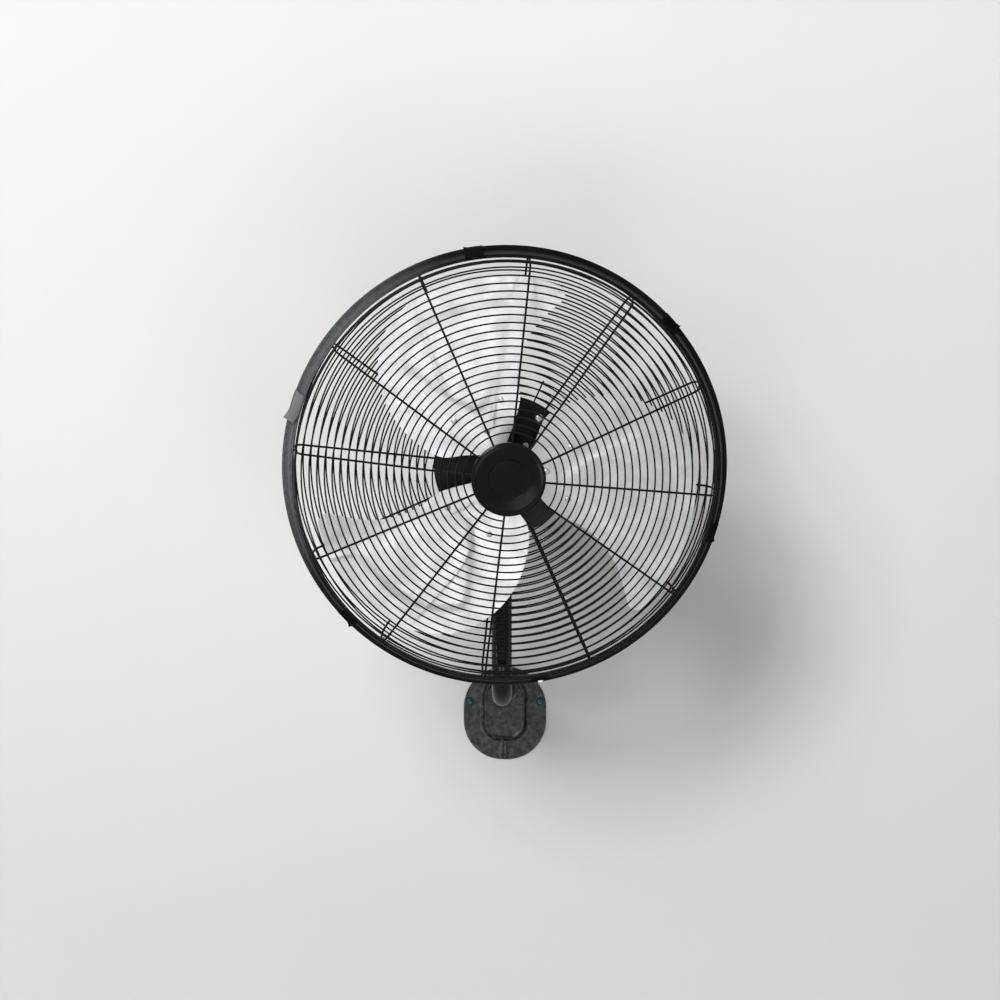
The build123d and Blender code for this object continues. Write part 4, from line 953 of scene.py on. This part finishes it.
def blade_seat(along, side, lift, azimuth):
    """Point of a blade from its face-on place, and the surface's normal there."""
    blades = bpy.context.scene.fan_blades
    radius, pitch = blades.camber_radius, blades.pitch
    across = side / cos(pitch)
    for _ in range(3):
        bend = across / radius
        miss = radius * sin(bend) * cos(pitch) + radius * (1 - cos(bend)) * sin(pitch) - side
        across -= miss / (cos(bend) * cos(pitch) + sin(bend) * sin(pitch))
    bend = across / radius
    out = Vector((sin(azimuth), cos(azimuth), 0))
    aside = Vector((-cos(azimuth), sin(azimuth), 0))
    axis = Vector((0, 0, 1))
    lead = aside * cos(pitch) - axis * sin(pitch)
    front = axis * cos(pitch) + aside * sin(pitch)
    middle = axis * blades.plane + out * along + lead * radius * sin(bend) + front * radius * (1 - cos(bend))
    normal = front * cos(bend) - lead * sin(bend)
    return middle + normal * lift, normal


def rivet_spots():
    """Face-on places of one blade's three rivets."""
    along, aside = polar(RIVET_OUTER, RIVET_SPREAD)
    aside *= cos(bpy.context.scene.fan_blades.pitch)
    return [(RIVET_INNER, 0.0), (along, aside), (along, -aside)]


class FAN_OT_blades(bpy.types.Operator):
    """Builds the three pressed blades and their rivets"""
    bl_idname = "fan.build_blades"
    bl_label = "Build blades"

    def execute(self, context):
        blades = context.scene.fan_blades
        metal = coated("brushed_sheet", *tones(blades.metal, 0.84), (0.30, 0.46),
                       grain=(1500.0, 0.6, 0.00002), metallic=0.8, smudge_scale=40.0,
                       tone_scale=38.0, rolled=(900.0, 14.0, 0.8))
        grid = blade_grid(120, 100)
        rise = press_heights(grid)
        half = blades.sheet / 2
        rivets = []
        for number, letter in enumerate("abc"):
            azimuth = blades.first + number * 2 * pi / 3
            seats = [[blade_seat(*place, lift, azimuth) for place, lift in zip(*row)]
                     for row in zip(grid, rise)]
            front, back = ([[spot + normal * side for spot, normal in row] for row in seats]
                           for side in (half, -half))
            add_piece(f"pressed_blade_{letter}", grid_sheet(front, back), "rotor", metal,
                      f"blade_{letter}")
            for along, aside in rivet_spots():
                spot, normal = blade_seat(along, aside, half, azimuth)
                rivets.append(moved(dome(4.6 * MM, 1.8 * MM, 20, 6, 0.3 * MM), stand(spot, normal)))
                spot, normal = blade_seat(along, aside, -half - RIVET_GRIP, azimuth)
                rivets.append(moved(dome(4.0 * MM, 0.9 * MM, 20, 4, 0.2 * MM), stand(spot, -normal)))
        add_piece("rivet_heads", merge(rivets), "rotor", zinc(), "blade_rivets")
        return {"FINISHED"}


# ---- disc, arm and wall plate -------------------------------------------------------------------
DISC_BORE = 26 * MM
DISC_SHEET = 1.5 * MM
MOTOR_FACE = -34.6 * MM   # face of the motor's front bell, on which the disc's pad lies
DISC_SCREWS = 88 * MM     # radius of the screws' circle
WELD_RIPPLES = 34
PLATE_SHEET = 3.0 * MM
PLATE_TOP, PLATE_BOTTOM = 58 * MM, -95 * MM
PLATEAU_HALF, PLATEAU_TOP, PLATEAU_BOTTOM, PLATEAU_CORNER = 37 * MM, 46 * MM, -65 * MM, 32 * MM
PLATE_MIDDLE = (0.0, -12 * MM)
RIDGES = (0.2 * MM, 6.4 * MM)          # distances of the two ridges inside the plateau's outline
RIDGE_HEIGHT, RIDGE_WIDTH = 1.6 * MM, 1.7 * MM
FOLD_SIDE, FOLD_HEIGHT = 3.8 * MM, 3.0 * MM
FOLD_START, FOLD_RUN = -62 * MM, 8 * MM
WASHER = 1.2 * MM


class FAN_OT_disc(bpy.types.Operator):
    """Builds the dished disc of the rear guard and the screws that hold it"""
    bl_idname = "fan.build_disc"
    bl_label = "Build disc"

    def execute(self, context):
        cage, edge = context.scene.fan_cage, context.scene.fan_cap.disc_radius
        back = cage.spoke / 2 - cage.rear_depth + SEAT
        front = back + DISC_SHEET
        pad = MOTOR_FACE + SEAT + DISC_SHEET
        profile = rounded([
            (DISC_BORE, pad, 0.4 * MM),
            (58 * MM, pad, 2.5 * MM),
            (68.5 * MM, front, 2.5 * MM),
            (edge, front, 0.6 * MM),
            (edge, back, 0.6 * MM),
            (67.8 * MM, back, 2.0 * MM),
            (57.3 * MM, pad - DISC_SHEET, 2.0 * MM),
            (DISC_BORE, pad - DISC_SHEET, 0.4 * MM),
        ], 6)
        coat = coated("disc_coat", *tones(cage.coat, 2.4), (0.26, 0.42), smudge_scale=40.0)
        add_piece("dished_disc", lathe(profile, 180), "head", coat, "guard_plate")
        screws = []
        for number in range(4):
            azimuth = cage.spoke_turn + radians(30 + 90 * number)
            seat = Matrix.Translation(at_azimuth(DISC_SCREWS, front, azimuth))
            shank = tube([(0, 0, 0.2 * MM), (0, 0, -8 * MM)], 2.5 * MM, 16)
            for part in (pan_head(6.6 * MM, 3.6 * MM, 1.2 * MM, 1.2 * MM), shank):
                screws.append(moved(part, seat))
        add_piece("disc_screws", merge(screws), "head", zinc(), "cover_screws")
        return {"FINISHED"}


def arm_path():
    """Middle line of the arm tube, from inside the plate up to the yoke, in runs of at most 16 mm."""
    arm = bpy.context.scene.fan_arm
    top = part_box("arm_tube")[1][2]
    flat = rounded([(1.0 * MM, arm.rise, 0), (arm.reach, arm.rise, arm.bend), (arm.reach, top, 0)], 32)
    path = [Vector((0, -point.x, point.y)) for point in flat]
    runs = []
    for here, after in zip(path, path[1:]):
        pieces = max(1, int((after - here).length / (8 * MM)))
        runs += [here.lerp(after, number / pieces) for number in range(pieces)]
    return runs + path[-1:]


def weld_bead(tube_radius):
    """Rippled fillet round the tube's foot."""
    inner = tube_radius + SEAT
    profile = [(inner, 0), (tube_radius + 4 * MM, 0)]
    steps = 6
    for step in range(steps + 1):
        lean = pi / 2 * step / steps
        profile.append((tube_radius + 0.6 * MM + 3.4 * MM * (1 - sin(lean)),
                        4 * MM * (1 - cos(lean)) + 0.4 * MM))
    profile.append((inner, 4.4 * MM))
    points, faces = lathe(profile, 120)
    for point in points:
        flat = Vector((point.x, point.y, 0))
        if flat.length > tube_radius + 0.5 * MM:
            ripple = 0.22 * MM * sin(atan2(point.y, point.x) * WELD_RIPPLES)
            point += flat.normalized() * ripple * min(1.0, point.z / (1.5 * MM))
    return points, faces


class FAN_OT_arm(bpy.types.Operator):
    """Builds the bent arm tube and the weld round its foot"""
    bl_idname = "fan.build_arm"
    bl_label = "Build arm"

    def execute(self, context):
        arm = context.scene.fan_arm
        enamel = coated("tube_enamel", *tones(arm.enamel, 1.7), (0.10, 0.20), grain=(700.0, 0.8, 0.00002),
                        coat=0.15, smudge_scale=35.0)
        add_piece("bent_tube", tube(arm_path(), arm.tube_radius, 48, round_ends=False), "wall_bracket",
                  enamel, "arm_tube", Matrix.Identity(4))
        seat = Matrix.Translation((0, arm.rise, arm.plateau_height))
        add_piece("weld_bead", moved(weld_bead(arm.tube_radius), seat), "wall_bracket", plate_coat(),
                  "tube_weld_collar", WALL)
        return {"FINISHED"}


def plate_edge(half, top, bottom, corner, count):
    """Outline of the plate: a round top and rounded lower corners, evenly spaced from the top."""
    shoulder, steps = top - half, 40
    leans = [pi / 2 * step / steps for step in range(steps + 1)]
    outline = [(half * sin(lean), shoulder + half * cos(lean)) for lean in leans]
    lower = rounded([(half, shoulder, 0), (half, bottom, corner), (0, bottom, 0)], 20)
    outline += [tuple(point) for point in lower[1:]]
    mirrored = [(-x, y) for x, y in reversed(outline[1:-1])]
    closed = [Vector(point) for point in outline + mirrored + [outline[0]]]
    return spread(closed, count + 1)[:-1]


def plate_shape():
    """The pressed plate: a plateau with two ridges round it, and a fold down its lower end."""
    arm = bpy.context.scene.fan_arm
    sides, rings = 288, 88
    half = arm.plate_width / 2
    outer = plate_edge(half, PLATE_TOP, PLATE_BOTTOM, 0.94 * half, sides)
    plateau = plate_edge(PLATEAU_HALF, PLATEAU_TOP, PLATEAU_BOTTOM, PLATEAU_CORNER, sides)
    centre = np.array(PLATE_MIDDLE)
    grid = np.array([centre + (outer - centre) * share for share in np.linspace(0, 1, rings)])
    edge_gap = near_curve(grid, outer)
    inside = signed_gap(grid, plateau, centre)
    rise = smooth(np.clip(inside / (5.5 * MM) + 0.08, 0, 1))
    height = PLATE_SHEET + (arm.plateau_height - PLATE_SHEET) * rise
    for ridge in RIDGES:
        height += RIDGE_HEIGHT * np.exp(-((inside - ridge) / RIDGE_WIDTH) ** 2)
    fold = np.exp(-(((np.abs(grid[..., 0]) - FOLD_SIDE) / RIDGE_WIDTH) ** 2))
    low_end = np.clip((FOLD_START - grid[..., 1]) / FOLD_RUN, 0, 1)
    height += FOLD_HEIGHT * fold * low_end * np.clip(edge_gap / (3 * MM), 0, 1)
    height -= PLATE_SHEET * 0.42 * np.clip(1 - edge_gap / (1.5 * MM), 0, 1) ** 2
    under = np.maximum(0.02 * MM, height - PLATE_SHEET) * np.minimum(1, edge_gap / (2 * MM))
    top, bottom = ([[Vector((*spot, level)) for spot, level in zip(*row)] for row in zip(grid, levels)]
                   for levels in (height, under))
    return skin([top[0][:1], *top[1:], *bottom[:0:-1], bottom[0][:1]])


class FAN_OT_plate(bpy.types.Operator):
    """Builds the pressed wall plate and its two wall screws with washers"""
    bl_idname = "fan.build_plate"
    bl_label = "Build wall plate"

    def execute(self, context):
        add_piece("pressed_plate", plate_shape(), "wall_bracket", plate_coat(),
                  "wall_plate", WALL)
        washers, screws = [], []
        bore, edge, soft = 3.2 * MM, 7.0 * MM, 0.4 * MM
        ring = rounded([(bore, 0, soft), (edge, 0, soft), (edge, WASHER, soft), (bore, WASHER, soft)], 3)
        for side in (-1, 1):
            seat = Matrix.Translation((side * context.scene.fan_arm.screw_spacing / 2, 0, PLATE_SHEET))
            washers.append(moved(lathe(ring, 48), seat))
            turned = Matrix.Translation((0, 0, WASHER)) @ Matrix.Rotation(radians(25), 4, "Z")
            screws.append(moved(pan_head(4.6 * MM, 3.0 * MM, 1.7 * MM, 1.1 * MM), seat @ turned))
            shank = tube([(0, 0, 1.0 * MM), (0, 0, -2.6 * MM)], 2.9 * MM, 16, round_ends=False)
            screws.append(moved(shank, seat))
        tint = coated("washer_zinc", (0.004, 0.055, 0.050), (0.003, 0.030, 0.030), (0.20, 0.34), metallic=0.7)
        pale = coated("screw_zinc", (0.055, 0.100, 0.100), (0.030, 0.060, 0.062), (0.20, 0.34), metallic=0.7)
        add_piece("wall_washers", merge(washers), "wall_bracket", tint, matrix=WALL)
        add_piece("wall_screw_heads", merge(screws), "wall_bracket", pale, matrix=WALL)
        return {"FINISHED"}


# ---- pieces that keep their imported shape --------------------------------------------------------
COATED_NODES = ("front_rim_ring", "rear_rim_ring", "cap_backing_plate", "motor_cover", "blade_hub",
                "tube_yoke", "tilt_neck")
ZINC_NODES = ("motor_screws", "cap_screws", "hub_set_screw", "hub_nut", "tilt_bolt", "yoke_clamp_screw",
              "pan_pin", "pan_retaining_ring", "oscillation_link", "motor_shaft", "front_bearing",
              "rear_bearing", "crank_gear", "worm")
CAST_NODES = ("motor_front_bell", "motor_rear_bell", "gearbox_case", "gearbox_lid", "rotor_core")
MOULDED_NODES = ("oscillation_knob", "speed_knob", "tilt_knob", "speed_switch", "motor_capacitor",
                 "cord_inlet")


def dress(names, material):
    """Gives CAD nodes a material."""
    for name in names:
        mesh = NODES[name].data
        mesh.materials.clear()
        mesh.materials.append(material)


class FAN_OT_small_parts(bpy.types.Operator):
    """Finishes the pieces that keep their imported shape"""
    bl_idname = "fan.finish_small_parts"
    bl_label = "Finish small parts"

    def execute(self, context):
        dress(COATED_NODES, powder_coat())
        dress(ZINC_NODES, zinc())
        dress(CAST_NODES, coated("cast_alloy", (0.48, 0.48, 0.49), (0.38, 0.38, 0.39), (0.50, 0.66),
                                 metallic=0.8, grain=(350.0, 1.2, 0.0001)))
        dress(["stator_stack"], coated("lamination_steel", (0.22, 0.22, 0.23), (0.15, 0.15, 0.16),
                                       (0.4, 0.55), metallic=0.9, rolled=(60.0, 1500.0, 2.0)))
        dress(["stator_windings"], coated("enamelled_copper", (0.45, 0.19, 0.08), (0.30, 0.11, 0.05),
                                          (0.3, 0.45), metallic=0.8, grain=(1200.0, 2.0, 0.0003)))
        dress(["worm_wheel", "pan_spacer"], coated("milled_nylon", (0.78, 0.75, 0.66), (0.70, 0.67, 0.58),
                                                   (0.40, 0.50)))
        dress(MOULDED_NODES, coated("moulded_black", (0.010, 0.010, 0.011), (0.020, 0.020, 0.021),
                                    (0.38, 0.52), grain=(1300.0, 0.8, 0.00006)))
        return {"FINISHED"}


# ---- stage --------------------------------------------------------------------------------------
WALL_DEPTH = 0.0004       # wall's face behind the plate's back
FLOOR_HEIGHT, WALL_TOP = -1.25, 4.0
STAGE_SIDE, FLOOR_FRONT = 6.0, -7.0
SHADE_LOW, SHADE_HIGH, SHADE_LEVEL = -0.35, 1.1, 0.74   # painted shade: the wall darkens downwards between these heights
HEAD_AIM = (0.0, -0.2, 0.35)
# Setting that holds the power, place, aim, size and tint of each lamp.
LAMPS = (
    ("key", (-4.5, -8.85, 5.85), HEAD_AIM, 4.6, (0.995, 0.995, 1.0)),
    ("fill", (0.75, -2.3, -0.95), HEAD_AIM, 0.9, (1.0, 0.99, 0.98)),
    ("card", (-0.9, -3.1, -0.9), HEAD_AIM, 1.0, (0.98, 0.99, 1.0)),
    ("edge", (-2.3, -1.75, 0.1), (0.0, -0.1, 0.1), 0.45, (1.0, 1.0, 1.0)),
)
WARM_SKY, SEEN_SKY = (1.0, 0.80, 0.66, 1.0), (0.98, 0.99, 1.0, 1.0)
SENSOR, FOCAL = 36.0, 2.160            # sensor width in mm, and focal length in sensor widths
CAMERA_SIDE = -0.0081                  # camera's shift to its right, in metres


def backdrop_material(paint):
    """Pale matt paint that is seen from the front only, so that no view is blocked, with painted shade
    darkening it downwards.
    """
    material = bpy.data.materials.new("backdrop_paint")
    material.use_nodes = True
    tree = material.node_tree
    shader = tree.nodes["Principled BSDF"]
    spot = tree.nodes.new("ShaderNodeTexCoord").outputs["Object"]
    base, other = tones(paint, 0.985)
    tone = place_group(tree, "tone", spot, scale=1.5, base=base, other=other)
    split = tree.nodes.new("ShaderNodeSeparateXYZ")
    feed(tree, split.inputs[0], spot)
    # Painted shade: the paint darkens towards the bottom between the shade heights.
    level = range_node(tree, split.outputs["Z"], SHADE_LOW, SHADE_HIGH, SHADE_LEVEL)
    feed(tree, shader.inputs["Base Color"], mix_node(tree, 1.0, tone, level, "MULTIPLY"))
    shader.inputs["Roughness"].default_value = 0.9
    mix = tree.nodes.new("ShaderNodeMixShader")
    feed(tree, mix.inputs[0], tree.nodes.new("ShaderNodeNewGeometry").outputs["Backfacing"])
    feed(tree, mix.inputs[1], shader.outputs[0])
    feed(tree, mix.inputs[2], tree.nodes.new("ShaderNodeBsdfTransparent").outputs[0])
    feed(tree, tree.nodes["Material Output"].inputs["Surface"], mix.outputs[0])
    return material


def add_lamp(name, place, aim, watts, size, tint):
    """A soft area lamp that looks at a point and isn't seen itself."""
    lamp = bpy.data.lights.new(name, "AREA")
    lamp.energy, lamp.size, lamp.color = watts, size, tint
    holder = bpy.data.objects.new(name, lamp)
    holder.location = place
    holder.visible_camera = False
    holder.rotation_euler = (Vector(aim) - Vector(place)).to_track_quat("-Z", "Y").to_euler()
    bpy.context.scene.collection.objects.link(holder)


class FAN_OT_stage(bpy.types.Operator):
    """Sets the wall, floor, lamps, world and camera"""
    bl_idname = "fan.set_stage"
    bl_label = "Set stage"

    def execute(self, context):
        scene, stage = context.scene, context.scene.fan_stage
        self.add_backdrop(scene, backdrop_material(stage.wall))
        for name, place, aim, size, tint in LAMPS:
            add_lamp(f"{name}_lamp", place, aim, getattr(stage, name), size, tint)
        self.set_world(scene, stage)
        self.set_camera(scene, stage)
        scene.view_settings.view_transform = "Standard"
        return {"FINISHED"}

    @staticmethod
    def add_backdrop(scene, material):
        """The wall behind the plate, and the floor below."""
        left, right, back = -STAGE_SIDE, STAGE_SIDE, WALL_DEPTH
        planes = {
            "wall_plane": [(left, back, FLOOR_HEIGHT), (right, back, FLOOR_HEIGHT),
                           (right, back, WALL_TOP), (left, back, WALL_TOP)],
            "floor_plane": [(left, back, FLOOR_HEIGHT), (left, FLOOR_FRONT, FLOOR_HEIGHT),
                            (right, FLOOR_FRONT, FLOOR_HEIGHT), (right, back, FLOOR_HEIGHT)],
        }
        for name, corners in planes.items():
            mesh = bpy.data.meshes.new(name)
            mesh.from_pydata(corners, [], [(0, 1, 2, 3)])
            mesh.materials.append(material)
            piece = bpy.data.objects.new(name, mesh)
            scene.collection.objects.link(piece)

    @staticmethod
    def set_world(scene, stage):
        """Weak warm light from all sides, and a pale sky where it is seen or mirrored."""
        scene.world = bpy.data.worlds.new("studio")
        scene.world.use_nodes = True
        tree = scene.world.node_tree
        sky = tree.nodes["Background"].inputs
        rays = tree.nodes.new("ShaderNodeLightPath").outputs
        seen = math_node(tree, "MAXIMUM", rays["Is Camera Ray"], rays["Is Glossy Ray"])
        seen = math_node(tree, "MAXIMUM", seen, rays["Is Transmission Ray"])
        feed(tree, sky["Color"], mix_node(tree, seen, WARM_SKY, SEEN_SKY))
        feed(tree, sky["Strength"], range_node(tree, seen, 0.0, 1.0, stage.sky, stage.seen_sky))

    @staticmethod
    def set_camera(scene, stage):
        """Camera level with the cage's lower half, a little to the right of the arm."""
        angle = stage.camera_turn
        ahead = Vector((-sin(angle), cos(angle), 0))
        right = Vector((cos(angle), sin(angle), 0))
        depth = ahead.dot(HUB) - stage.distance
        camera = bpy.data.cameras.new("photo_camera")
        camera.sensor_width, camera.lens = SENSOR, SENSOR * FOCAL
        holder = bpy.data.objects.new("photo_camera", camera)
        holder.location = ahead * depth + right * CAMERA_SIDE + Vector((0, 0, stage.camera_height))
        holder.rotation_euler = (pi / 2, 0, angle)
        scene.collection.objects.link(holder)
        scene.camera = holder


# ---- the add-on ---------------------------------------------------------------------------------
SETTINGS = (
    ("fan_cage", CageSettings),
    ("fan_cap", CapSettings),
    ("fan_blades", BladeSettings),
    ("fan_arm", ArmSettings),
    ("fan_stage", StageSettings),
)
OPERATORS = (FAN_OT_guards, FAN_OT_rim, FAN_OT_clips, FAN_OT_cap, FAN_OT_blades, FAN_OT_disc, FAN_OT_arm,
             FAN_OT_plate, FAN_OT_small_parts, FAN_OT_stage)


class FAN_PT_panel(bpy.types.Panel):
    """Lists the fan's pieces and their settings"""
    bl_idname = "FAN_PT_panel"
    bl_label = "Wall Fan"
    bl_space_type = "VIEW_3D"
    bl_region_type = "UI"
    bl_category = "Wall Fan"

    def draw(self, context):
        column = self.layout.column(align=True)
        for operator in OPERATORS:
            column.operator(operator.bl_idname)
        for name, group in SETTINGS:
            box = self.layout.box()
            box.label(text=name)
            for label in group.__annotations__:
                box.prop(getattr(context.scene, name), label)


def register():
    """Registers the settings, operators and panel."""
    for name, group in SETTINGS:
        bpy.utils.register_class(group)
        setattr(bpy.types.Scene, name, PointerProperty(type=group))
    for part in OPERATORS + (FAN_PT_panel,):
        bpy.utils.register_class(part)


def unregister():
    """Takes them out again."""
    for part in reversed(OPERATORS + (FAN_PT_panel,)):
        bpy.utils.unregister_class(part)
    for name, group in reversed(SETTINGS):
        delattr(bpy.types.Scene, name)
        bpy.utils.unregister_class(group)


def main():
    register()
    bpy.ops.fan.set_stage()
    bpy.ops.fan.build_guards()
    bpy.ops.fan.build_rim()
    bpy.ops.fan.build_clips()
    bpy.ops.fan.build_cap()
    bpy.ops.fan.build_blades()
    bpy.ops.fan.build_disc()
    bpy.ops.fan.build_arm()
    bpy.ops.fan.build_plate()
    bpy.ops.fan.finish_small_parts()


if __name__ == "__main__":
    main()
